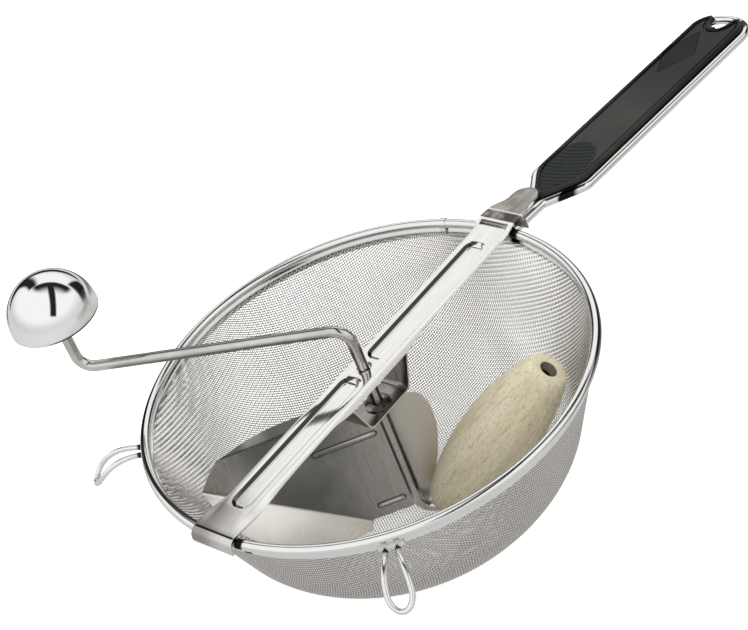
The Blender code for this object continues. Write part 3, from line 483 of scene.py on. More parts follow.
class Value:
    """A number on a shader socket: arithmetic on it adds Math nodes."""

    def __init__(self, tree, socket):
        self.tree = tree
        self.socket = socket

    def math(self, operation, *others):
        node = add_node(self.tree, "Math", {"operation": operation},
                        dict(enumerate((self,) + others)))
        return Value(self.tree, node.outputs[0])

    def __add__(self, other):
        return self.math("ADD", other)

    def __mul__(self, other):
        return self.math("MULTIPLY", other)

    def __sub__(self, other):
        return self.math("SUBTRACT", other)

    def __rsub__(self, other):
        return self.math("MULTIPLY", -1.0) + other

    __radd__ = __add__
    __rmul__ = __mul__

    def size(self):
        return self.math("ABSOLUTE")

    def above(self, low, high):
        """0 under one value, 1 over another, eased between."""
        node = add_node(self.tree, "MapRange", {"interpolation_type": "SMOOTHSTEP"},
                        {0: self, 1: low, 2: high})
        return Value(self.tree, node.outputs[0])

    def below(self, low, high):
        """1 under one value, 0 over another, eased between."""
        return 1 - self.above(low, high)

    def between(self, start, rise, fall, end):
        """1 inside a band, eased to 0 at both of its edges."""
        return self.above(start, rise) * self.below(fall, end)


def feed(tree, port, given):
    if isinstance(given, Value):
        tree.links.new(given.socket, port)
    else:
        port.default_value = given


def add_node(tree, kind, settings=None, ports=None):
    """Adds a node: its settings first, then the values or links of its sockets."""
    node = tree.nodes.new("ShaderNode" + kind)
    for key, value in (settings or {}).items():
        setattr(node, key, value)
    for key, given in (ports or {}).items():
        feed(tree, node.inputs[key], given)
    return node


def split_axes(tree, where):
    """The three coordinates of a place."""
    node = add_node(tree, "SeparateXYZ", None, {0: where})
    return [Value(tree, node.outputs[index]) for index in range(3)]


def distance(first, second):
    """How far a point lies from zero, by its two coordinates."""
    return (first * first + second * second).math("SQRT")


def largest(first, *others):
    for other in others:
        first = first.math("MAXIMUM", other)
    return first


def rgba(colour):
    return colour + (1.0,) if isinstance(colour, tuple) else colour


class Finish:
    """A material for one kind of surface."""

    def __init__(self, name, colour, metallic, roughness):
        self.material = bpy.data.materials.new(name)
        self.material.use_nodes = True
        self.tree = self.material.node_tree
        self.shader = self.tree.nodes["Principled BSDF"]
        self.set("Base Color", colour)
        self.set("Metallic", metallic)
        self.set("Roughness", roughness)

    def set(self, port, given):
        feed(self.tree, self.shader.inputs[port], rgba(given))

    def node(self, kind, settings=None, ports=None, output=0):
        return Value(self.tree, add_node(self.tree, kind, settings, ports).outputs[output])

    def place(self, scale=(1, 1, 1), matrix=None):
        """Object coordinates, read in a piece's own frame and stretched."""
        where = self.node("TexCoord", output=3)
        if matrix is not None:
            spot, turn, _ = (LIFT @ matrix).decompose()
            where = self.node("Mapping", {"vector_type": "TEXTURE"},
                              {"Vector": where, "Location": spot, "Rotation": turn.to_euler()})
        return self.node("Mapping", {"vector_type": "POINT"}, {"Vector": where, "Scale": scale})

    def axes(self, matrix=None):
        """The three coordinates of the surface in millimetres."""
        return split_axes(self.tree, self.place((1 / MM, 1 / MM, 1 / MM), matrix))

    def noise(self, where, scale, detail=3.0, roughness=0.5):
        return self.node("TexNoise", None, {"Vector": where, "Scale": scale, "Detail": detail,
                                            "Roughness": roughness})

    def mix(self, share, first, second):
        """A blend of two colours."""
        return self.node("Mix", {"data_type": "RGBA"},
                         {0: share, 6: rgba(first), 7: rgba(second)}, output=2)

    def painted(self, colour, *coats):
        """A colour with others laid over it in turn, each given as its mask and colour."""
        for mask, coat in coats:
            colour = self.mix(mask, colour, coat)
        return colour

    def bump(self, height, depth, strength):
        self.set("Normal", self.node("Bump", None, {"Height": height, "Strength": strength,
                                                    "Distance": depth}))


def polished(name, colour):
    """Bright drawn steel, nearly a mirror, under the finest of grain."""
    made = Finish(name, colour, 1.0, 0.07)
    made.bump(made.noise(made.place(), 900.0, 2.0), 0.00002, 0.25)
    return made


def shaded_steel():
    """Bright steel of rim and wires, painted shadow where a hook or the bar meets the rim."""
    bright, shadow_colour = (0.83, 0.83, 0.8175), (0.012, 0.012, 0.011)
    made = polished("bright_steel", bright)
    rub = made.noise(made.place(), 90.0, 4.0, 0.6)
    made.set("Roughness", rub * 0.13 + 0.07)
    x, y, z = made.axes()
    out, low = distance(x, y) - RIM_RADIUS, RIM_HEIGHT - z
    # Painted shadow where each hook leaves the rim, and painted shade lines along the bead.
    hook_root_shadow = out.between(3.0, 3.3, 4.4, 5.6)
    outer_shade_line = out.above(0.9, 1.3) * x.above(15, 60) * y.below(30, 70)
    drift = y.above(0, 80) * 1.9 - 1.1
    upper_shade_line = ((out - drift).size().below(0.6, 1.0) * x.below(-60, -30) * y.above(-10, 10)
                  * low.below(-0.4, 0.0))
    on_bead = low.below(1.7, 2.0) * out.below(2.3, 2.6)
    rim_shade_lines = largest(outer_shade_line, upper_shade_line) * on_bead
    # Painted shadow where the bar's hinge and latch close on the rim.
    aside = 0 - y
    hinge_shadow = x.below(-85, -80) * aside.between(10.6, 11.2, 14.2, 15.4)
    latch_shadow = x.above(89, 91) * aside.between(7.8, 8.6, 12.2, 14.0)
    # All painted shade, laid over the bright steel.
    dark = largest(hook_root_shadow, hinge_shadow, latch_shadow, rim_shade_lines * 0.97)
    made.set("Base Color", made.mix(dark, bright, shadow_colour))
    return made.material


def dome_finish():
    """Mirror dome, satin toward its hem, with a painted shadow line on the hem's shaded side."""
    bright, hem_shadow_colour = (0.87, 0.87, 0.86), (0.02, 0.02, 0.02)
    made = polished("mirror_steel_painted_shadow", bright)
    x, y, z = made.axes()
    up = z - (RIM_HEIGHT + KNOB_BASE)
    satin = up.below(3, 12)
    across = ((x - ARM_REACH * math.cos(ARM_TURN)) * HEM_SHADE_WAY.x
              + (y - ARM_REACH * math.sin(ARM_TURN)) * HEM_SHADE_WAY.y)
    # Painted shadow line along the hem on its shaded side.
    hem = up.below(0.7, 1.1) * across.above(-4, 6)
    made.set("Base Color", made.mix(hem * 0.95, bright, hem_shadow_colour))
    made.set("Roughness", satin * 0.26 + 0.04)
    made.set("Metallic", 1 - satin * 0.45)
    return made.material


def brushed(name, dark, light, low, high, grain):
    """Satin rolled sheet or rod: fine streaks along the grain and soft stains."""
    made = Finish(name, dark, 1.0, low)
    streak = made.noise(made.place(grain), 1.0, 5.0, 0.65)
    cloud = made.noise(made.place(), 45.0)
    plain = made.mix((streak * 0.7 + cloud * 0.6).above(0.35, 0.95), dark, light)
    made.set("Base Color", plain)
    made.set("Roughness", streak * (high - low) + low)
    made.bump(streak, 0.00004, 0.35)
    return made, plain


def flanks(made, matrix, along, reach):
    """Painted reflection: 1 down a straight rod's flanks, eased to 0 at both ends of a reach."""
    turned = matrix.to_3x3()
    side = turned.inverted() @ camera_axes()[2].cross(turned.col[along]).normalized()
    spot = made.axes(matrix)
    first, second = [spot[index] * side[index] for index in range(3) if index != along]
    return ((first + second).size().above(ROD_RADIUS * 0.3, ROD_RADIUS * 0.7)
            * spot[along].between(*reach))


def rod_finish():
    """Satin rod, painted dark down the flanks of arm and stem as reflection of the bowl's sides.
    """
    made, plain = brushed("satin_rod_painted_reflection", (0.5, 0.485, 0.455), (0.72, 0.705, 0.675), 0.08, 0.2,
                          (60, 60, 60))
    on_arm = ARM_FRAME @ Matrix.Translation((0, 0, ARM_HEIGHT * MM))
    # Painted dark reflection down the stem's and arm's flanks.
    stem = flanks(made, ARM_FRAME, 2, (-76, -68, 14, 20)) * 0.95
    arm = flanks(made, on_arm, 0, (4, 10, 106, 112)) * 0.6
    made.set("Base Color", made.mix(largest(stem, arm), plain, (0.035, 0.035, 0.03)))
    return made.material


# Wire cloth

def weave_net():
    """Crossings of one quadrant of the cloth, as (distance from the pole, azimuth).

    Each wire keeps its spacing from crossing to crossing, so the squares shear into
    diamonds between the two main wires as the flat cloth closes round the form.
    """
    section = np.array([tuple(point) for point in bowl_line()][::-1])
    spare = np.array((math.sin(DRAFT), math.cos(DRAFT))) * CLOTH_SPARE
    section = np.vstack([section, section[-1] + spare])
    travel = np.concatenate([[0], np.cumsum(np.hypot(*np.diff(section, axis=0).T))])

    def surface(s, turn):
        radius = np.interp(s, travel, section[:, 0])
        height = np.interp(s, travel, section[:, 1])
        return np.stack([radius * np.cos(turn), radius * np.sin(turn), height], -1)

    count = WEAVE_COUNT
    s = np.full((count, count), np.nan)
    turn = np.full((count, count), np.nan)
    s[:, 0] = s[0, :] = np.arange(count) * WEAVE_PITCH
    turn[:, 0] = 0
    turn[0, :] = math.pi / 2
    for total in range(2, 2 * count - 1):
        i = np.arange(max(1, total - count + 1), min(count, total))
        j = total - i
        first = surface(s[i - 1, j], turn[i - 1, j])
        second = surface(s[i, j - 1], turn[i, j - 1])
        corner = surface(s[i - 1, j - 1], np.nan_to_num(turn[i - 1, j - 1]))
        guess = first + second - corner
        far = s[i - 1, j] + s[i, j - 1] - s[i - 1, j - 1]
        place_s = np.where(far > POLE_ZONE, far, np.hypot(guess[:, 0], guess[:, 1]))
        place_t = np.arctan2(guess[:, 1], guess[:, 0])
        for _ in range(6):
            spot = surface(place_s, place_t)
            along = (surface(place_s + NUDGE, place_t)
                     - surface(place_s - NUDGE, place_t)) / (2 * NUDGE)
            around = (surface(place_s, place_t + NUDGE_TURN)
                      - surface(place_s, place_t - NUDGE_TURN)) / (2 * NUDGE_TURN)
            gaps = [((spot - end) ** 2).sum(-1) - WEAVE_PITCH ** 2 for end in (first, second)]
            rows = [2 * ((spot - end) * axis).sum(-1) for end in (first, second)
                    for axis in (along, around)]
            det = rows[0] * rows[3] - rows[1] * rows[2]
            det = np.where(np.abs(det) < 1e-6, np.nan, det)
            step_s = (gaps[0] * rows[3] - gaps[1] * rows[1]) / det
            step_t = (gaps[1] * rows[0] - gaps[0] * rows[2]) / det
            place_s = place_s - np.clip(step_s, -1, 1)
            place_t = place_t - np.clip(step_t, -0.3, 0.3)
        bad = (place_s < 0) | (place_s > travel[-1])
        s[i, j] = np.where(bad, np.nan, place_s)
        turn[i, j] = np.where(bad, np.nan, place_t)
    return s, turn, surface, travel[-2]


def draw_folds(s, turn, limit):
    """Height of the shallow folds that the closing cloth keeps under the rim."""
    depth = limit - s
    degrees = np.degrees(turn) % 360
    share = np.clip((degrees - DRAW_START) / DRAW_SWEEP, 0, 1)
    phase = (RIM_RADIUS * np.radians(degrees - DRAW_START) * (0.11 + 0.05 * share)
             + depth * (0.39 - 0.18 * share))
    inside = (np.clip((degrees - DRAW_FIRST) / 14, 0, 1)
              * np.clip((DRAW_LAST - degrees) / 8, 0, 1))
    at_rim = np.clip(depth / DRAW_LEAD, 0, 1)
    fade = np.exp(-depth / (24 - 14 * share)) * at_rim
    swell = 0.85 + 0.3 * np.sin(degrees * 0.31) + 0.2 * np.sin(degrees * 0.83 + depth * 0.2)
    folds = DRAW_HEIGHT * inside * fade * swell * np.sin(math.tau * phase)
    slow = DRAW_SWELL * np.sin(np.radians(degrees * 9) + depth * 0.12) * np.exp(-depth / 18)
    return folds + slow * at_rim


def build_cloth(finishes):
    """Every wire of the weave as a four-sided tube that bobs over and under the others."""
    s, turn, surface, limit = weave_net()
    count = len(s)
    size = 2 * count - 1
    all_s = np.full((size, size), np.nan)
    all_turn = np.full((size, size), np.nan)
    mid = count - 1
    i, j = np.meshgrid(np.arange(count), np.arange(count), indexing="ij")
    for quarter, (row, column) in enumerate(((i, j), (-j, i), (-i, -j), (j, -i))):
        all_s[row + mid, column + mid] = s
        all_turn[row + mid, column + mid] = turn + quarter * math.pi / 2 + WEAVE_TURN
    inside = (all_s <= limit) & ~np.isnan(all_turn)
    slope_s = surface(all_s + NUDGE, all_turn) - surface(all_s - NUDGE, all_turn)
    slope_t = np.stack([-np.sin(all_turn), np.cos(all_turn), np.zeros_like(all_turn)], -1)
    normal = np.cross(slope_s, slope_t)
    normal[mid, mid] = (0, 0, 1)
    normal /= np.linalg.norm(normal, axis=-1, keepdims=True)
    normal[normal[..., 2] < 0] *= -1
    base = surface(all_s, all_turn) + normal * draw_folds(all_s, all_turn, limit)[..., None]
    grid_i, grid_j = np.meshgrid(np.arange(size), np.arange(size), indexing="ij")
    over = np.where((grid_i + grid_j) % 2, 1.0, -1.0)
    families = {"warp": (base, normal, inside, over),
                "weft": (base.transpose(1, 0, 2), normal.transpose(1, 0, 2), inside.T, -over.T)}
    for family, (points, face, keep, bob) in families.items():
        run = np.zeros_like(points)
        run[1:-1] = points[2:] - points[:-2]
        step = np.zeros_like(points)
        step[:-1] = points[1:] - points[:-1]
        run = np.where(np.isnan(run), np.where(np.isnan(step), 0, step), run)
        run += (np.linalg.norm(run, axis=-1, keepdims=True) < 1e-6) * np.array((1e-3, 0, 0))
        run /= np.linalg.norm(run, axis=-1, keepdims=True)
        side = np.cross(face, run) * WIRE_HALF_WIDE
        thick = face * WIRE_HALF_THICK
        middle = points + face * (bob * CRIMP)[..., None]
        ring = np.stack([middle + side, middle + thick, middle - side, middle - thick], 2)
        filled = keep.sum(0).cumsum()
        for part in range(CLOTH_PARTS):
            low, high = filled[-1] * part / CLOTH_PARTS, filled[-1] * (part + 1) / CLOTH_PARTS
            lanes = (filled > low) & (filled <= high) if part else filled <= high
            tube_mesh("cloth_" + family + "_" + str(part + 1), ring, keep & lanes[None, :],
                      finishes[family])


def tube_mesh(name, ring, use, material):
    """Joins the rings of neighbouring crossings into closed tubes."""
    number = np.full(use.shape, -1)
    number[use] = np.arange(use.sum()) * 4
    points = ring[use].reshape(-1, 3) * MM + np.array((0, 0, RIM_HEIGHT * MM))
    joined = use[:-1] & use[1:]
    near, far = number[:-1][joined], number[1:][joined]
    quads = []
    for corner in range(4):
        after = (corner + 1) % 4
        quads.append(np.stack([near + corner, far + corner, far + after, near + after], -1))
    before = np.zeros_like(use)
    before[1:] = use[:-1]
    following = np.zeros_like(use)
    following[:-1] = use[1:]
    first, last = number[use & ~before], number[use & ~following]
    quads.append(np.stack([first, first + 1, first + 2, first + 3], -1))
    quads.append(np.stack([last + 3, last + 2, last + 1, last], -1))
    quads = np.concatenate(quads)
    mesh = bpy.data.meshes.new(name)
    mesh.vertices.add(len(points))
    mesh.vertices.foreach_set("co", points.ravel())
    mesh.loops.add(quads.size)
    mesh.loops.foreach_set("vertex_index", quads.ravel())
    mesh.polygons.add(len(quads))
    mesh.polygons.foreach_set("loop_start", np.arange(len(quads)) * 4)
    mesh.polygons.foreach_set("use_smooth", np.zeros(len(quads), dtype=bool))
    mesh.update(calc_edges=True)
    mesh.validate()
    obj = bpy.data.objects.new(name, mesh)
    bpy.context.scene.collection.objects.link(obj)
    finish_piece(obj, material, "sieve", "sieve_cloth")


def finish_piece(obj, material, body, *nodes):
    obj.data.materials.clear()
    obj.data.materials.append(material)
    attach(obj, body)
    if nodes:
        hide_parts(*nodes)


# Rim

def binding_profile(grow):
    """Section of the sheet that is rolled round the core wire, as a closed line."""
    side = CLOTH_THICK / 2 + GAP + BINDING_SHEET / 2
    spread = math.asin(side / (BEAD_RADIUS - BINDING_SHEET / 2))
    start = math.atan2(WALL_RUN.y, WALL_RUN.x) + spread
    centre = Vector((RIM_RADIUS, 0))
    outer, inner = [arc(centre, (radius, radius), start, start + math.tau - 2 * spread, 28)
                    for radius in (BEAD_RADIUS + grow, BEAD_RADIUS - BINDING_SHEET + grow)]
    across = Vector((-WALL_RUN.y, WALL_RUN.x))
    ends = []
    for hand, width in ((1, BINDING_SKIRT), (-1, BINDING_LIP)):
        foot = centre + WALL_RUN * (width + BEAD_RADIUS * math.cos(spread))
        face = foot + across * hand * (CLOTH_THICK / 2 + GAP + BINDING_SHEET + grow)
        back = foot + across * hand * (CLOTH_THICK / 2 + GAP + grow)
        middle = (face + back) / 2 + WALL_RUN * (BINDING_SHEET / 2)
        ends.append([face, middle, back])
    right, left = sorted(ends, key=lambda end: (end[0] - outer[0]).length)
    return outer + left + inner[::-1] + right[::-1]


def build_rim(bright):
    sweep = SEAM_WIDTH / RIM_RADIUS
    start = math.radians(SEAM_AZIMUTH) - sweep / 2
    rings = (("rim_bead_and_skirt", 0.0, 160, math.tau, 0.0, ["rim_binding"]),
             ("rim_seam_overlap", SEAM_PROUD, 4, sweep, start, []))
    for name, proud, count, turn, start, nodes in rings:
        ring = spun(name, binding_profile(proud), count, closed=True, degrees=40, turn=turn,
                    start=start)
        finish_piece(place(ring), bright, "sieve", *nodes)


# Pot hooks

def build_hooks(bright):
    """The two wire loops: each narrow at its root, wide at its eye and drooping outwards."""
    root = skirt_radius(HOOK_DEPTH - HOOK_WIRE / 2) + GAP + CLIP_SHEET + GAP
    run = HOOK_REACH - HOOK_EYE_HALF
    leg = [Vector((root + run * share,
                   HOOK_ROOT_HALF + (HOOK_EYE_HALF - HOOK_ROOT_HALF) * smoothstep(share)))
           for share in shares(20)]
    eye = arc((root + run, 0), (HOOK_EYE_HALF, HOOK_EYE_HALF), math.pi / 2, -math.pi / 2, 16)
    points = []
    for spot in leg + eye[1:-1] + mirrored(leg):
        share = (spot.x - root) / HOOK_REACH
        lift = HOOK_RISE * math.sin(math.pi * share) - HOOK_DROP * share ** 3
        points.append((spot.x, spot.y, lift - HOOK_DEPTH))
    for name, azimuth in HOOKS:
        hook = wire("pot_hook_" + name + "_wire", points, HOOK_WIRE)
        finish_piece(place(hook, Matrix.Rotation(azimuth, 4, "Z")), bright, "sieve",
                     "pot_hook_" + name)


# Handle

HANDLE_ROOT = skirt_radius(HANDLE_DEPTH) + GAP + CLIP_SHEET + GAP
HANDLE_FRAME = (Matrix.Translation((HANDLE_ROOT * MM, 0, -HANDLE_DEPTH * MM))
                @ Matrix.Rotation(HANDLE_DROOP, 4, "Y"))
FLARE_TURN = math.atan2(HANDLE_HALF - NECK_HALF, FLARE)
STRAIGHT_END = NECK + FLARE + STRAIGHT


def grip_outline(inset):
    """Plan of the grip, drawn in from the wire's centre line by an inset."""
    sink = inset - GRIP_LIP_COVER
    rise = math.tan(FLARE_TURN)
    nose_x = NECK + GRIP_NOSE + sink
    base_x = NECK + inset * math.sin(FLARE_TURN)
    base_y = NECK_HALF - inset * math.cos(FLARE_TURN)
    half = HANDLE_HALF - inset
    corner = Vector((base_x + (half - base_y) / rise, half))
    nose = Vector((nose_x, base_y + (nose_x - base_x) * rise))
    start = corner - (corner - nose).normalized() * GRIP_CORNER
    end = corner + Vector((GRIP_CORNER, 0))
    side = [nose, nose.lerp(corner, 0.5)]
    side += [(1 - share) ** 2 * start + 2 * share * (1 - share) * corner + share ** 2 * end
             for share in shares(6)]
    far = Vector((STRAIGHT_END - GRIP_CORNER_FAR, half))
    side += [end.lerp(far, share) for share in shares(4)[1:]]
    side += arc((STRAIGHT_END, 0), (half, half), math.pi / 2, GRIP_PRONG + sink / HANDLE_HALF, 14)
    mouth = Vector((STRAIGHT_END + GRIP_NOTCH_MOUTH - sink, GRIP_NOTCH_HALF + sink))
    bottom = STRAIGHT_END - GRIP_NOTCH_SET - sink
    notch = arc((mouth.x, 0), (bottom - mouth.x, mouth.y), math.pi / 2, 0, 9)
    return side + notch + mirrored(side + notch[:-1])


def lofted(name, loops):
    """A closed body: a drawn outline filled, then extruded from level to level."""
    obj = line(name, loops[0], closed=True)
    bpy.ops.mesh.edge_face_add()
    place_of = {tuple(round(value, 8) for value in Vector(point) * MM): index
                for index, point in enumerate(loops[0])}
    for loop in loops[1:]:
        bpy.ops.mesh.extrude_region_move(TRANSFORM_OT_translate={"value": (0, 0, 0)})
        mesh = bmesh.from_edit_mesh(obj.data)
        moved = {}
        for vert in mesh.verts:
            if vert.select:
                index = place_of[tuple(round(value, 8) for value in vert.co)]
                vert.co = Vector(loop[index]) * MM
                moved[tuple(round(value, 8) for value in vert.co)] = index
        bmesh.update_edit_mesh(obj.data)
        place_of = moved
    return tidy(obj, 1e-7)


def build_handle(bright, black):
    corners = [(HANDLE_START, NECK_HALF), (NECK, NECK_HALF), (NECK + FLARE, HANDLE_HALF),
               (STRAIGHT_END, HANDLE_HALF)]
    side = filleted(corners, (HANDLE_WIRE * 1.6, HANDLE_WIRE * 1.6))
    end = arc((STRAIGHT_END, 0), (HANDLE_HALF, HANDLE_HALF), math.pi / 2, -math.pi / 2, 32)
    plan = side + end[1:-1] + mirrored(side)
    loop = wire("handle_loop_wire", [point.to_3d() for point in plan], HANDLE_WIRE, sides=7)
    finish_piece(place(loop, HANDLE_FRAME), bright, "sieve", "handle_wire")

    clear = HANDLE_WIRE / 2 + GAP
    cover = GRIP_LIP_COVER
    lip = GRIP_LIP_COVER + GRIP_RECESS_RIM
    levels = ((cover + 1.5, -GRIP_BOTTOM), (cover + 0.5, 0.4 - GRIP_BOTTOM),
              (cover, 1.1 - GRIP_BOTTOM), (cover, -clear), (clear + 0.2, -clear),
              (clear + 0.2, clear), (cover, clear), (cover, GRIP_TOP - 0.9),
              (cover + 0.25, GRIP_TOP - 0.3), (cover + 0.8, GRIP_TOP), (lip - 0.5, GRIP_TOP),
              (lip, GRIP_TOP - 0.3), (lip + 0.1, GRIP_TOP - 1.2), (lip + 0.7, GRIP_TOP - 1.2),
              (lip + 1.1, GRIP_TOP - GRIP_RECESS_DEPTH))
    loops = [[(point.x, point.y, height) for point in grip_outline(inset)]
             for inset, height in levels]
    grip = smooth(lofted("moulded_grip", loops), 32)
    finish_piece(place(grip, HANDLE_FRAME), black, "sieve", "handle_grip")


# Crossbar

def bar_stations():
    """Middle line of the strip as (point, upward normal)."""
    stations = []
    radius = HOOK_BORE + BAR_SHEET / 2
    for share in shares(24)[:-1]:
        angle = math.radians(90 + HOOK_WRAP * (1 - share))
        normal = Vector((math.cos(angle), math.sin(angle)))
        stations.append((HINGE + radius * normal, normal))
    up = Vector((0, 1))
    places = {HINGE.x, 0.0}
    for start, end, spacing in ((-98.0, -70.0, 1.0), (-70.0, 70.0, 4.0), (70.0, 101.0, 1.0)):
        places.update(np.arange(start, end, spacing))
    for share in (0.0, 0.05, 0.15, 0.3, 0.5, 0.7, 1.0):
        for spot in (GROOVE_END - GROOVE_LIP * share, GROOVE_PAD + GROOVE_LIP * share):
            places.update((spot, -spot))
    spots = sorted(places)
    spots = [spot for spot, before in zip(spots, [-1e9] + spots) if spot - before > BAR_CLOSEST]
    for x in spots:
        rise = (GAP + STEP_HEIGHT) * smoothstep((x - STEP_UP) / (STEP_TOP - STEP_UP))
        stations.append((Vector((x, BAR_MID + rise)), up))
    for share in shares(8)[1:]:
        x = STEP_TOP + (TAB_CREASE - TAB_CREASE_HALF - STEP_TOP) * share
        stations.append((Vector((x, BAR_MID + GAP + STEP_HEIGHT * (1 - share))), up))
    for share in shares(24):
        quarter = math.pi / 2 * share
        slope = -TAB_DROP * (TAB_CROWN * math.pi / 2 * math.cos(quarter) + TAB_FALL) / TAB_LENGTH
        drop = TAB_DROP * (TAB_CROWN * math.sin(quarter) + TAB_FALL * share)
        spot = Vector((TAB_CREASE + TAB_LENGTH * share, BAR_MID + GAP - drop))
        stations.append((spot, Vector((-slope, 1)).normalized()))
    return stations


def bar_section(x):
    """Half section of the strip at a place along X, as (across, up) from the middle out."""
    fold = smoothstep(min((FOLD_START + x) / FOLD_RUNOUT, (FAR_FOLD_START - x) / FAR_FOLD_RUNOUT))
    fold *= math.pi / 2
    taper = smoothstep((x - FLANGE_TAPER_START) / FLANGE_TAPER)
    flange = BAR_FLANGE + (BAR_FLANGE_FAR - BAR_FLANGE) * taper
    flange += MID_FLANGE * (1 - smoothstep((abs(x) - BEARING_SPREAD) / MID_FLANGE_RUNOUT))
    share = max(0.0, min(1.0, min(GROOVE_END - abs(x), abs(x) - GROOVE_PAD) / GROOVE_LIP))
    swell = max(GROOVE_TIP_SHARE, math.sqrt(1 - (1 - share) ** 2))
    depth = GROOVE_DEPTH * smoothstep(share * 2)
    start = BAR_HALF - BAR_BEND
    points = [Vector((0, -depth)), Vector((GROOVE_FLOOR * swell * 0.6, -depth))]
    for part in shares(6):
        points.append(Vector(((GROOVE_FLOOR + (GROOVE_LIP - GROOVE_FLOOR) * part) * swell,
                              -depth * (1 - 0.4 * part ** 2 - 0.6 * part))))
    points += [Vector(((GROOVE_LIP * swell + start) / 2, 0)), Vector((start, 0))]
    bend = BAR_BEND * math.pi / 2
    stock = bend + flange - BAR_BEND
    for run in [bend * part for part in shares(6)[1:]] + [(bend + stock) / 2, stock]:
        turn = min(run / BAR_BEND, fold)
        straight = run - BAR_BEND * turn
        points.append(Vector((start + BAR_BEND * math.sin(turn) + straight * math.cos(turn),
                              -BAR_BEND * (1 - math.cos(turn)) - straight * math.sin(turn))))
    tip = (x - TAB_CREASE) / TAB_LENGTH
    if tip >= 0:
        wide = points[-1].x
        ease = (1 + math.cos(math.pi * min(1.0, tip * 2.0))) / 2
        width = TAB_TIP_HALF + (wide - TAB_TIP_HALF) * ease
        if tip > TAB_ROUND_SHARE:
            round_off = (tip - TAB_ROUND_SHARE) / (1 - TAB_ROUND_SHARE)
            width *= math.sqrt(max(0.08, 1 - round_off ** 2))
        points = [Vector((point.x * width / wide, point.y)) for point in points]
    return points


def sheet_grid(name, rows):
    """A grid primitive whose rows are set to the rows of a bent sheet."""
    clear_selection()
    bpy.ops.mesh.primitive_grid_add(x_subdivisions=len(rows) - 1,
                                    y_subdivisions=len(rows[0]) - 1, size=2)
    obj = bpy.context.object
    obj.name = name
    obj.data.name = name
    for vert in obj.data.vertices:
        row = round((vert.co.x + 1) / 2 * (len(rows) - 1))
        column = round((vert.co.y + 1) / 2 * (len(rows[0]) - 1))
        vert.co = Vector(rows[row][column]) * MM
    return obj


def build_crossbar(finish):
    rows = []
    for point, normal in bar_stations():
        half = bar_section(point.x)
        section = [Vector((-p.x, p.y)) for p in half[:0:-1]] + half
        rows.append([(point.x + normal.x * up, across, point.y + normal.y * up)
                     for across, up in section])
    bar = sheet_grid("stamped_crossbar", rows)
    modify(bar, "SOLIDIFY", thickness=BAR_SHEET * MM, offset=0, use_even_offset=False)
    drilled(bar, BORE_RADIUS + GAP, (0, 0, BAR_MID))
    break_edges(bar, 0.18, 60)
    finish_piece(place(smooth(bar, 40)), finish, "crossbar", "crossbar")

    foot = BAR_RISE - LATCH_SHEET / 2
    path = filleted([(LATCH_X - LATCH_FOOT, foot), (LATCH_X, foot), (LATCH_X, foot - LATCH_LEG)],
                    (LATCH_SHEET,), 5)
    latch = strip("spring_latch", path, LATCH_HALF, LATCH_SHEET)
    finish_piece(place(latch), finish, "crossbar", "rim_latch")


def build_bearing(satin, bright):
    foot = BAR_RISE - GROOVE_DEPTH - GAP - BEARING_SHEET / 2
    plate = -BEARING_DEPTH - BEARING_SHEET / 2
    half = BEARING_PLATE / 2
    corners = [(-BEARING_FOOT, foot), (-BEARING_SPREAD, foot), (-half, plate),
               (half, plate), (BEARING_SPREAD, foot), (BEARING_FOOT, foot)]
    path = filleted(corners, (2 * BEARING_BEND, BEARING_BEND, BEARING_BEND, 2 * BEARING_BEND), 8)
    bracket = strip("hat_bracket", path, BEARING_HALF, BEARING_SHEET)
    drilled(bracket, BORE_RADIUS, (0, 0, plate))
    finish_piece(place(smooth(bracket, 40)), satin, "crossbar", "bearing_bracket")
    # The sheet's cut edges take the bright steel as a painted highlight.
    bracket.data.materials.append(bright)
    for face in bracket.data.polygons:
        face.material_index = int(abs(face.normal.y) > 0.6)


# Crank rod, its nut and the roller

ARM_FRAME = Matrix.Rotation(ARM_TURN, 4, "Z")
AXLE_RUN = Vector((math.sin(AXLE_LEAN), math.cos(AXLE_LEAN)))
AXLE_TANGENT = Vector((FOOT_BEND, FOOT_HEIGHT)) + FOOT_BEND * Vector((math.cos(AXLE_LEAN),
                                                                     -math.sin(AXLE_LEAN)))


def axle_point(along):
    point = AXLE_TANGENT + AXLE_RUN * along
    return Vector((-point.x, 0, point.y))


def on_axle(along):
    """A frame standing on the axle, Z along it."""
    return (ARM_FRAME @ Matrix.Translation(axle_point(along) * MM)
            @ Matrix.Rotation(-AXLE_LEAN, 4, "Y"))


def build_rod(satin):
    upper = filleted([(ARM_REACH, 0, STEM_TOP), (ARM_REACH, 0, ARM_HEIGHT), (0, 0, ARM_HEIGHT),
                      (0, 0, FOOT_HEIGHT)], (STEM_BEND, ARM_BEND), 14)
    foot = arc((FOOT_BEND, FOOT_HEIGHT), (FOOT_BEND, FOOT_BEND), math.pi, math.tau - AXLE_LEAN, 20)
    turn = [Vector((-point.x, 0, point.y)) for point in foot[1:-1]]
    rod = wire("bent_crank_rod", upper + turn + [axle_point(0), axle_point(AXLE_END)],
               2 * ROD_RADIUS, sides=7)
    finish_piece(place(rod, ARM_FRAME), satin, "crank", "crank_rod")


def build_push_nut(satin):
    profile = [(BORE_RADIUS, NUT_DISH + NUT_SHEET), (NUT_RADIUS - 0.4, NUT_SHEET + 0.05),
               (NUT_RADIUS, NUT_SHEET - 0.15), (NUT_RADIUS, 0), (BORE_RADIUS, NUT_DISH)]
    nut = spun("dished_push_nut", profile, 48, closed=True)
    place(nut, Matrix.Translation((0, 0, (GAP - BEARING_DEPTH) * MM)))
    finish_piece(nut, satin, "crank", "bearing_push_nut")


def barrel_radius(share):
    middle = abs(2 * share - 1)
    return ROLLER_END + (ROLLER_RADIUS - ROLLER_END) * (1 - middle ** 2.2)


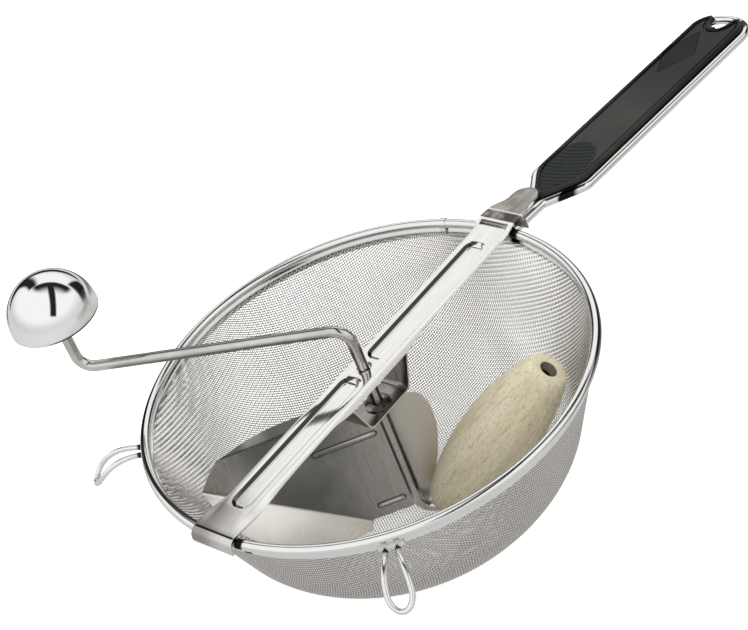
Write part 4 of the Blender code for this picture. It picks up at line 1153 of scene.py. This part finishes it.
def build_roller(wood):
    length, ease, end = ROLLER_LENGTH, ROLLER_ROUND, barrel_radius(0)
    side = [(barrel_radius(share), length * share) for share in shares(40)[1:-1]]
    first = [(end - ease, 0), (end - ease * 0.35, ease * 0.2), (end + ease * 0.1, ease * 0.7)]
    last = [(radius, length - height) for radius, height in first[::-1]]
    bore = [(COUNTERBORE_RADIUS + 0.3, length), (COUNTERBORE_RADIUS, length - 0.3),
            (COUNTERBORE_RADIUS, length - COUNTERBORE_DEPTH),
            (BORE_RADIUS, length - COUNTERBORE_DEPTH), (BORE_RADIUS, 0)]
    barrel = spun("turned_roller", first + side + last + bore, 64, closed=True, degrees=40)
    finish_piece(place(barrel, on_axle(ROLLER_START)), wood, "roller", "wooden_roller")


# Blade

def lip_widths():
    """How wide the folded lip can be at places along the fold, before the cloth."""
    wall = bowl_line()
    clear = CLOTH_THICK / 2 + LIP_CLEAR + BLADE_SHEET / 2
    widths = []
    for share in shares(LIP_STEPS):
        start = FOLD_OUT.lerp(FOLD_IN, share)
        near, far = 0.0, RIM_RADIUS
        for _ in range(24):
            middle = (near + far) / 2
            flat = start + LIP_WAY * (middle * math.cos(LIP_TILT))
            radius = math.hypot(flat.x, middle * math.sin(LIP_TILT) - BLADE_BACK)
            spot = Vector((radius, flat.y))
            inside = spot.y > clear - RIM_HEIGHT + CLOTH_THICK / 2
            for high, low in zip(wall, wall[1:]):
                if low.y <= spot.y <= high.y and high.y > low.y:
                    part = (high.y - spot.y) / (high.y - low.y)
                    slope = (high - low).normalized()
                    edge = high.x + (low.x - high.x) * part - clear / max(0.3, slope.y)
                    inside = inside and spot.x < edge
            near, far = (middle, far) if inside else (near, middle)
        widths.append(near)
    return widths


def folded(point, lift, base, across, tilt, hand):
    """Bends a point past a fold line round it; returns its place in the sheet's frame."""
    beyond = (point - base).dot(across)
    if beyond <= 0:
        return Vector((point.x, lift, point.y))
    turn = min(beyond / SHEET_BEND, tilt)
    rest = max(0.0, beyond - SHEET_BEND * tilt)
    reach = SHEET_BEND * math.sin(turn) + rest * math.cos(turn)
    rise = SHEET_BEND * (1 - math.cos(turn)) + rest * math.sin(turn)
    reach -= hand * lift * math.sin(turn)
    rise = hand * rise + lift * math.cos(turn)
    flat = point - across * beyond + across * reach
    return Vector((flat.x, rise, flat.y))


def blade_outline():
    """The flat blank's outline: its top flange, outer edge, folded lip and wing."""
    outline = []
    for step, share in enumerate((1.0, 1.05, 0.95, 0.6)):
        x = CREASE_IN + (CREASE_OUT - CREASE_IN) * step / 4
        outline.append(Vector((x, FLANGE_WIDTH * share - CREASE_DEPTH)))
    outline = [outline[0]] + eased(outline, 4)[1:]
    crease_out = Vector((CREASE_OUT, -CREASE_DEPTH))
    outline += [crease_out, crease_out.lerp(FOLD_OUT, 0.5) + Vector((GAP, GAP)), FOLD_OUT]
    outline += [FOLD_OUT.lerp(FOLD_IN, share) + LIP_WAY * width
                for share, width in zip(shares(LIP_STEPS), lip_widths())]
    wing = [HEEL]
    for out, down in ((0.52, 0.75), (0.78, 0.48), (0.96, 0.2)):
        wing.append(Vector((-WING * out, WING_DEPTH + (HEEL.y - WING_DEPTH) * down)))
    for out, down in ((1.0, 1.0), (0.93, 0.33), (0.73, 0.04), (0.45, 0.0)):
        wing.append(Vector((-WING * out, WING_TOP + (WING_DEPTH - WING_TOP) * down)))
    outline += [FOLD_IN] + eased(wing, 5)
    outline += [Vector((WING_NOTCH, WING_TOP)), Vector((CREASE_IN, -CREASE_DEPTH))]
    return [point for point, before in zip(outline, [Vector((1e9, 0))] + outline)
            if (point - before).length > 0.05]


def build_blade(satin):
    """Pressed flat, pierced to its outline, ribbed, then folded."""
    clear_selection()
    wide, tall = BLANK_SIZE
    bpy.ops.mesh.primitive_grid_add(x_subdivisions=int(wide / BLANK_CELL),
                                    y_subdivisions=int(tall / BLANK_CELL),
                                    size=MM, location=(0, 0, 0))
    plate = bpy.context.object
    plate.name = "folded_blade"
    edit(plate)
    bpy.ops.transform.resize(value=(wide, tall, 1))
    bpy.ops.transform.translate(value=(BLANK_MIDDLE * MM).to_3d())
    bpy.ops.object.mode_set(mode="OBJECT")
    modify(plate, "SOLIDIFY", thickness=BLADE_SHEET * MM, offset=0)
    punch = line("blade_outline", [(point.x, point.y, -PUNCH_HALF) for point in blade_outline()],
                 closed=True)
    bpy.ops.mesh.edge_face_add()
    bpy.ops.mesh.extrude_region_move(
        TRANSFORM_OT_translate={"value": (0, 0, 2 * PUNCH_HALF * MM)})
    tidy(punch)
    modify(plate, "BOOLEAN", operation="INTERSECT", solver="EXACT", object=punch)
    bpy.data.objects.remove(punch)

    base = Vector((0, -CREASE_DEPTH))
    for vert in plate.data.vertices:
        point = Vector((vert.co.x / MM, vert.co.y / MM))
        lift = vert.co.z / MM
        for start, end, height in RIBS:
            middle = max(start + RIB_HALF, min(end - RIB_HALF, point.x))
            away = math.hypot(point.x - middle, point.y - height)
            lift += RIB_PROUD * smoothstep((RIB_HALF - away) / RIB_HALF * 1.25)
        if point.y > -CREASE_DEPTH and point.x > 20:
            spot = folded(point, lift, base, Vector((0, 1)), FLANGE_TILT, -1)
        else:
            spot = folded(point, lift, FOLD_OUT, LIP_WAY, LIP_TILT, 1)
        vert.co = Vector((spot.x, spot.y - BLADE_BACK, spot.z)) * MM
    tidy(plate)
    place(smooth(plate, 38), Matrix.Rotation(BLADE_TURN, 4, "Z"))
    finish_piece(plate, satin, "crank", "blade")


# Knob

def build_knob(bright):
    wall, inside = KNOB_HEIGHT - KNOB_LAND, KNOB_RADIUS - KNOB_SHEET
    dome = arc((0, KNOB_LAND), (KNOB_RADIUS, wall), math.pi / 2, 0, 28)
    inner = arc((0, KNOB_LAND), (inside, wall - KNOB_SHEET), 0, math.pi / 2, 16)
    dome[0].x = inner[-1].x = 0
    hem = [(KNOB_RADIUS, 0.25), (KNOB_RADIUS - 0.2, 0.0), (inside, 0.0)]
    shell = spun("spun_knob_dome", dome + hem + inner, 96, degrees=50)
    spot = ARM_FRAME @ Matrix.Translation((ARM_REACH * MM, 0, KNOB_BASE * MM))
    finish_piece(place(shell, spot), bright, "knob", "knob_dome")


# Materials of this mill

def bar_finish():
    """Bright stamped strip: mirror-like along its top, satin on its flanges and thumb tab."""
    made = Finish("bright_stamped_strip_painted_shading", (0.84, 0.83, 0.81), 1.0, 0.13)
    x, y, _ = made.axes()
    streak = made.noise(made.place((60, 900, 60)), 1.0, 4.0, 0.6)
    cloud = made.noise(made.place(), 120.0)
    tab = x.above(107.5, 109)
    # Painted light: the flanks near-white and less metallic, as if lit.
    lit_flank = y.size().above(7.1, 8) * (1 - tab) * x.above(-100, -92)
    # Painted dark reflection on the fall of the far step.
    fall = x.between(101, 101.6, 107.2, 107.8)
    along = x.size()
    beyond = largest(along - (GROOVE_END - GROOVE_LIP), (GROOVE_PAD + GROOVE_LIP) - along, 0.0)
    ring = distance(beyond, y)
    # Painted shade on the grooves' walls, and a painted grey shade line along their other edge on
    # the near half.
    wall = ring.between(3.6, 3.9, 4.9, 5.2) * y.above(-0.8, 1.2)
    edge = ring.between(3.0, 4.6, 5.0, 5.4) * y.below(-1.2, 0.2) * x.below(-12, 0)
    # Painted shade at the near end, darker toward +Y.
    heel_shade = x.below(-90, -74)
    plain = made.painted(
        made.mix(streak.above(0.35, 0.75), (0.80, 0.785, 0.76), (0.88, 0.875, 0.86)),
        (lit_flank, (0.93, 0.92, 0.9)),
        (wall * 0.97, (0.03, 0.03, 0.025)),
        (fall * (1 - cloud.above(0.45, 0.7) * 0.4), (0.065, 0.052, 0.043)),
        (edge * 0.7, (0.25, 0.24, 0.225)),
        (heel_shade * (y.above(-7, 7) * 0.6 + 0.25), (0.25, 0.225, 0.205)))
    # The thumb tab darker and mottled.
    tab_mottle = (streak * 0.5 + cloud * 0.5).above(0.4, 0.6)
    thumb = made.mix(tab_mottle, (0.27, 0.24, 0.215), (0.46, 0.435, 0.40))
    made.set("Base Color", made.mix(tab, plain, thumb))
    made.set("Metallic", 1 - lit_flank * 0.85)
    made.set("Roughness", (lit_flank + tab) * 0.2 + streak * 0.05 + cloud * 0.03 + 0.04)
    made.bump(streak + cloud, 0.00003, 0.4)
    return made.material


def rib_corner_shade(x, z, start, end, height):
    """Painted shade mask: 1 in the corner round a pressed rib, in the sheet's own frame."""
    middle, half = (start + end) / 2, (end - start) / 2 - RIB_HALF
    beyond = ((x - middle).size() - half).math("MAXIMUM", 0.0)
    corner = [RIB_HALF * share for share in (0.55, 0.85, 1.0, 1.35)]
    return distance(beyond, z - height).between(*corner)


def blade_finish():
    """Rolled sheet, painted duller where the bowl's own shade lies on it, and paler and rougher at
    its wing.
    """
    sheet = Matrix.Rotation(BLADE_TURN, 4, "Z")
    made = Finish("rolled_sheet_painted_shading", (0.5, 0.48, 0.45), 1.0, 0.25)
    x, _, z = made.axes(sheet)
    streak = made.noise(made.place((900, 900, 60), sheet), 1.0, 5.0, 0.65)
    cloud = made.noise(made.place(matrix=sheet), 32.0, 3.0, 0.55)
    # Painted shade where the bowl's own shade lies on the sheet.
    shade = x.above(0, 40) * (1 - x.above(55, 75) * 0.8)
    wing = x.below(-8, -1)
    past = (x - FOLD_OUT.x) * LIP_WAY.x + (z - FOLD_OUT.y) * LIP_WAY.y
    # Painted dark reflection on the flange, with a painted highlight across its middle.
    flange = (z + CREASE_DEPTH).above(0, 1) * x.above(24, 27)
    flange_highlight = (x - 56).size().below(2, 8)
    # Painted shade in the corners round the pressed ribs.
    edges = largest(*[rib_corner_shade(x, z, *rib) for rib in RIBS])
    made.set("Base Color", made.painted(
        made.mix(streak.above(0.35, 0.7), (0.55, 0.525, 0.49), (0.64, 0.615, 0.58)),
        (shade * (cloud.above(0.2, 0.6) * 0.4 + 0.6), (0.2, 0.2, 0.175)),
        (flange * (1 - flange_highlight * 0.9), (0.12, 0.12, 0.105)),
        # Painted light: the folded lip paler.
        (past.above(0, 1), (0.84, 0.81, 0.77)),
        (past.above(3, 16) * cloud.above(0.2, 0.55), (0.5, 0.475, 0.44)),
        (edges * 0.85, (0.05, 0.05, 0.045)),
        (wing * 0.9, (0.92, 0.88, 0.82))))
    made.set("Roughness", streak * 0.12 + cloud * 0.12 + wing * 0.35 + 0.1)
    made.bump(streak * 0.3 + cloud * 2.0, 0.00005, 0.2)
    return made.material


def wood_finish():
    """Pale turned beech: fine dark flecks along the axle on a soft cream."""
    axle = on_axle(ROLLER_START)
    made = Finish("pale_turned_wood_painted_shade", (0.66, 0.6, 0.42), 0.0, 0.55)
    slow = made.noise(made.place((1, 1, 0.12), axle), 130.0, 4.0, 0.6)
    fleck = made.noise(made.place((1, 1, 0.09), axle), 620.0, 3.0, 0.6)
    speck = made.noise(made.place((1, 1, 0.35), axle), 1300.0, 2.0)
    x, y, _ = made.axes(axle)
    # Painted shade inside the counterbore.
    bore = distance(x, y).below(COUNTERBORE_RADIUS - 0.1, COUNTERBORE_RADIUS + 0.2)
    made.set("Base Color", made.painted(
        made.mix(slow.above(0.35, 0.65), (0.80, 0.735, 0.545), (0.69, 0.63, 0.43)),
        (fleck.above(0.52, 0.7) * 0.36 + speck.above(0.5, 0.68) * 0.36, (0.36, 0.29, 0.15)),
        (bore, (0.07, 0.058, 0.025))))
    made.set("Roughness", slow * 0.2 + 0.45)
    made.bump(fleck * -1.0, 0.00012, 0.5)
    return made.material


def grip_finish():
    """Black moulded plastic: fine grain, and curved ridges under the thumb."""
    made = Finish("black_moulding_painted_shade", (0.012, 0.013, 0.012), 0.0, 0.32)
    made.set("Specular IOR Level", 0.2)
    x, y, z = made.axes(HANDLE_FRAME)
    rings = distance(x - 100, y - 12)
    ridges = (rings * (math.tau / RIDGE_PITCH)).math("SINE") * 0.5 + 0.5
    patch = distance((x - 54) * 0.57, y - 2).below(11.2, 12.8)
    top = z.above(3.4, 3.8)
    lozenge = ((x - 160).size() * 0.44 + (y - 5).size()).below(8.6, 9.2)
    grain = made.noise(made.place(), 1500.0)
    cloud = made.noise(made.place(), 60.0)
    # Painted shade in the grooves between the ridges.
    ridge_shade = made.mix(ridges, (0.004, 0.005, 0.006), (0.019, 0.023, 0.024))
    far = x.above(100, 150)
    made.set("Base Color", made.painted(
        made.mix(cloud.above(0.3, 0.7), (0.021, 0.0245, 0.0195), (0.033, 0.037, 0.030)),
        (far * 0.6, (0.005, 0.006, 0.005)),
        (patch * top, ridge_shade),
        (lozenge * top, (0.003, 0.0035, 0.0035))))
    made.set("Roughness", cloud * 0.12 + grain * 0.08 + 0.27 - lozenge * 0.05)
    made.set("Metallic", largest(lozenge * top * 0.95, far * 0.45))
    made.bump(ridges * patch * top * 0.8 - lozenge * top + grain * 0.06, 0.0005, 0.7)
    return made.material


def nylon_finish():
    made = Finish("nylon", (0.72, 0.7, 0.64), 0.0, 0.45)
    made.set("Roughness", made.noise(made.place(), 300.0) * 0.2 + 0.35)
    return made.material


# Stage, light and camera

def camera_axes():
    """The view's right, up and back directions."""
    turn, tilt, roll = CAMERA_AZIMUTH, CAMERA_ELEVATION, CAMERA_ROLL
    back = Vector((math.sin(turn) * math.cos(tilt), -math.cos(turn) * math.cos(tilt),
                   math.sin(tilt)))
    level = Vector((math.cos(turn), math.sin(turn), 0))
    rise = back.cross(level)
    right = math.cos(roll) * level + math.sin(roll) * rise
    up = math.cos(roll) * rise - math.sin(roll) * level
    return right, up, back


def ray_flags(tree):
    """1 where a ray comes from the camera, off metal, and through glass."""
    path = add_node(tree, "LightPath")
    return [Value(tree, path.outputs[name])
            for name in ("Is Camera Ray", "Is Glossy Ray", "Is Transmission Ray")]


def build_floor():
    """A white sweep. In metal it is dimmer, with dark cards lying behind and to the right."""
    clear_selection()
    bpy.ops.mesh.primitive_plane_add(size=6.0, location=(0, 0, -0.0006))
    floor = bpy.context.object
    floor.name = "studio_floor"
    made = Finish("white_floor", (0.9, 0.9, 0.9), 0.0, 0.9)
    made.set("Specular IOR Level", 0.0)
    camera, glossy, through = ray_flags(made.tree)
    x, y, _ = made.axes()
    behind = x * BACK_WAY.x + y * BACK_WAY.y
    aside = (x * BACK_WAY.y - y * BACK_WAY.x).size()
    card = behind.between(300, 400, 500, 800) * aside.below(350, 600)
    right = x.above(100, 200) * y.between(-1100, -900, -300, -160)
    away = distance(x, y).above(100, 900)
    made.set("Base Color", made.mix(glossy, (0.9, 0.9, 0.9), (0.05, 0.05, 0.05)))
    mirrored_glow = (away * 0.06 + 0.62) * (1 - largest(card, right) * 0.9)
    light = made.node("Emission", None,
                      {"Strength": (camera + through) * 0.6 + glossy * mirrored_glow})
    both = made.node("AddShader", None, {0: light, 1: Value(made.tree, made.shader.outputs[0])})
    feed(made.tree, made.tree.nodes["Material Output"].inputs["Surface"], both)
    floor.data.materials.append(made.material)


def build_world():
    """A white studio whose metal reflections also hold the dark gaps behind the lamps."""
    world = bpy.data.worlds.new("studio")
    bpy.context.scene.world = world
    world.use_nodes = True
    tree = world.node_tree
    where = Value(tree, add_node(tree, "TexCoord").outputs["Generated"])
    x, y, z = [Value(tree, add_node(tree, "VectorMath", {"operation": "DOT_PRODUCT"},
                                    {0: where, 1: axis}).outputs["Value"])
               for axis in camera_axes()]
    height = split_axes(tree, where)[2]
    behind = z.below(-0.7, -0.6) * y.above(0.25, 0.4)
    outline = z.below(-0.6, -0.5) * x.below(-0.52, -0.44) * y.above(0.0, 0.1)
    right = x.above(0.36, 0.45) * z.between(-0.66, -0.52, -0.1, 0.06)
    left = x.between(-0.76, -0.68, -0.56, -0.42) * y.above(0.3, 0.5) * z.below(0.0, 0.14)
    streak = ((x - z * 0.3 + 0.16).size().below(0.09, 0.17) * y.above(-0.14, -0.03)
              * z.above(0.04, 0.14))
    crown = ((x + 0.05).size().below(0.52, 0.72) * y.above(0.7, 0.84)
             * z.between(0.02, 0.1, 0.22, 0.64))
    dark = largest(behind, right, left, outline, streak, crown)
    room = height.above(-0.02, 0.5) * 0.36 + 0.68
    camera, glossy, through = ray_flags(tree)
    seen = (camera + through).math("MINIMUM", 1.0)
    level = glossy * room * (1 - dark * 0.98) + (1 - glossy) * 0.6
    background = tree.nodes["Background"]
    feed(tree, background.inputs["Strength"], seen + (1 - seen) * level)
    background.inputs["Color"].default_value = (1, 1, 1, 1)


def build_lamps():
    lamps = (("key", (-0.5, -0.75, 1.15), 1.0, 9.0), ("fill", (0.9, 0.5, 0.9), 0.9, 4.5))
    for name, spot, size, power in lamps:
        data = bpy.data.lights.new(name, "AREA")
        data.energy = power
        data.size = size
        lamp = bpy.data.objects.new(name, data)
        bpy.context.scene.collection.objects.link(lamp)
        aim = LAMP_TARGET - Vector(spot)
        lamp.location = spot
        lamp.rotation_euler = aim.to_track_quat("-Z", "Y").to_euler()
        lamp.visible_glossy = False


def build_camera():
    right, up, back = camera_axes()
    spot = (right * CAMERA_SIDE + up * CAMERA_RISE + back * CAMERA_DISTANCE) * MM
    data = bpy.data.cameras.new("view")
    data.lens = CAMERA_LENS
    data.sensor_width = 36.0
    data.clip_start = 0.05
    camera = bpy.data.objects.new("view", data)
    bpy.context.scene.collection.objects.link(camera)
    matrix = Matrix((right, up, back)).transposed().to_4x4()
    matrix.translation = spot + Vector((0, 0, RIM_HEIGHT * MM))
    camera.matrix_world = matrix
    bpy.context.scene.camera = camera


def main():
    scene = bpy.context.scene
    scene.view_settings.view_transform = "Standard"
    bright = shaded_steel()
    rod = rod_finish()
    bracket, _ = brushed("stamped_sheet", (0.26, 0.25, 0.235), (0.38, 0.365, 0.34), 0.14, 0.3,
                         (60, 700, 60))
    build_rim(bright)
    build_hooks(bright)
    build_handle(bright, grip_finish())
    build_crossbar(bar_finish())
    build_bearing(bracket.material, bright)
    build_rod(rod)
    build_push_nut(bracket.material)
    build_roller(wood_finish())
    build_blade(blade_finish())
    build_knob(dome_finish())
    kept = {rod: ("rim_core_wire", "thrust_washer", "roller_washer", "axle_push_nut",
                  "stem_push_nut"),
            bright: ("hook_clip_left", "hook_clip_front", "handle_saddle", "knob_base"),
            nylon_finish(): ("knob_bush",)}
    for material, names in kept.items():
        for name in names:
            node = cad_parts[name]
            node.data.materials.clear()
            node.data.materials.append(material)
    # One steel in two copies: the warp painted light, the weft painted shade.
    build_cloth({"warp": Finish("warp_wire_steel_lit", (0.93, 0.915, 0.89), 1.0, 0.24).material,
                 "weft": Finish("weft_wire_steel_shaded", (0.50, 0.48, 0.45), 1.0, 0.24).material})
    build_floor()
    build_world()
    build_lamps()
    build_camera()
    clear_selection()


main()
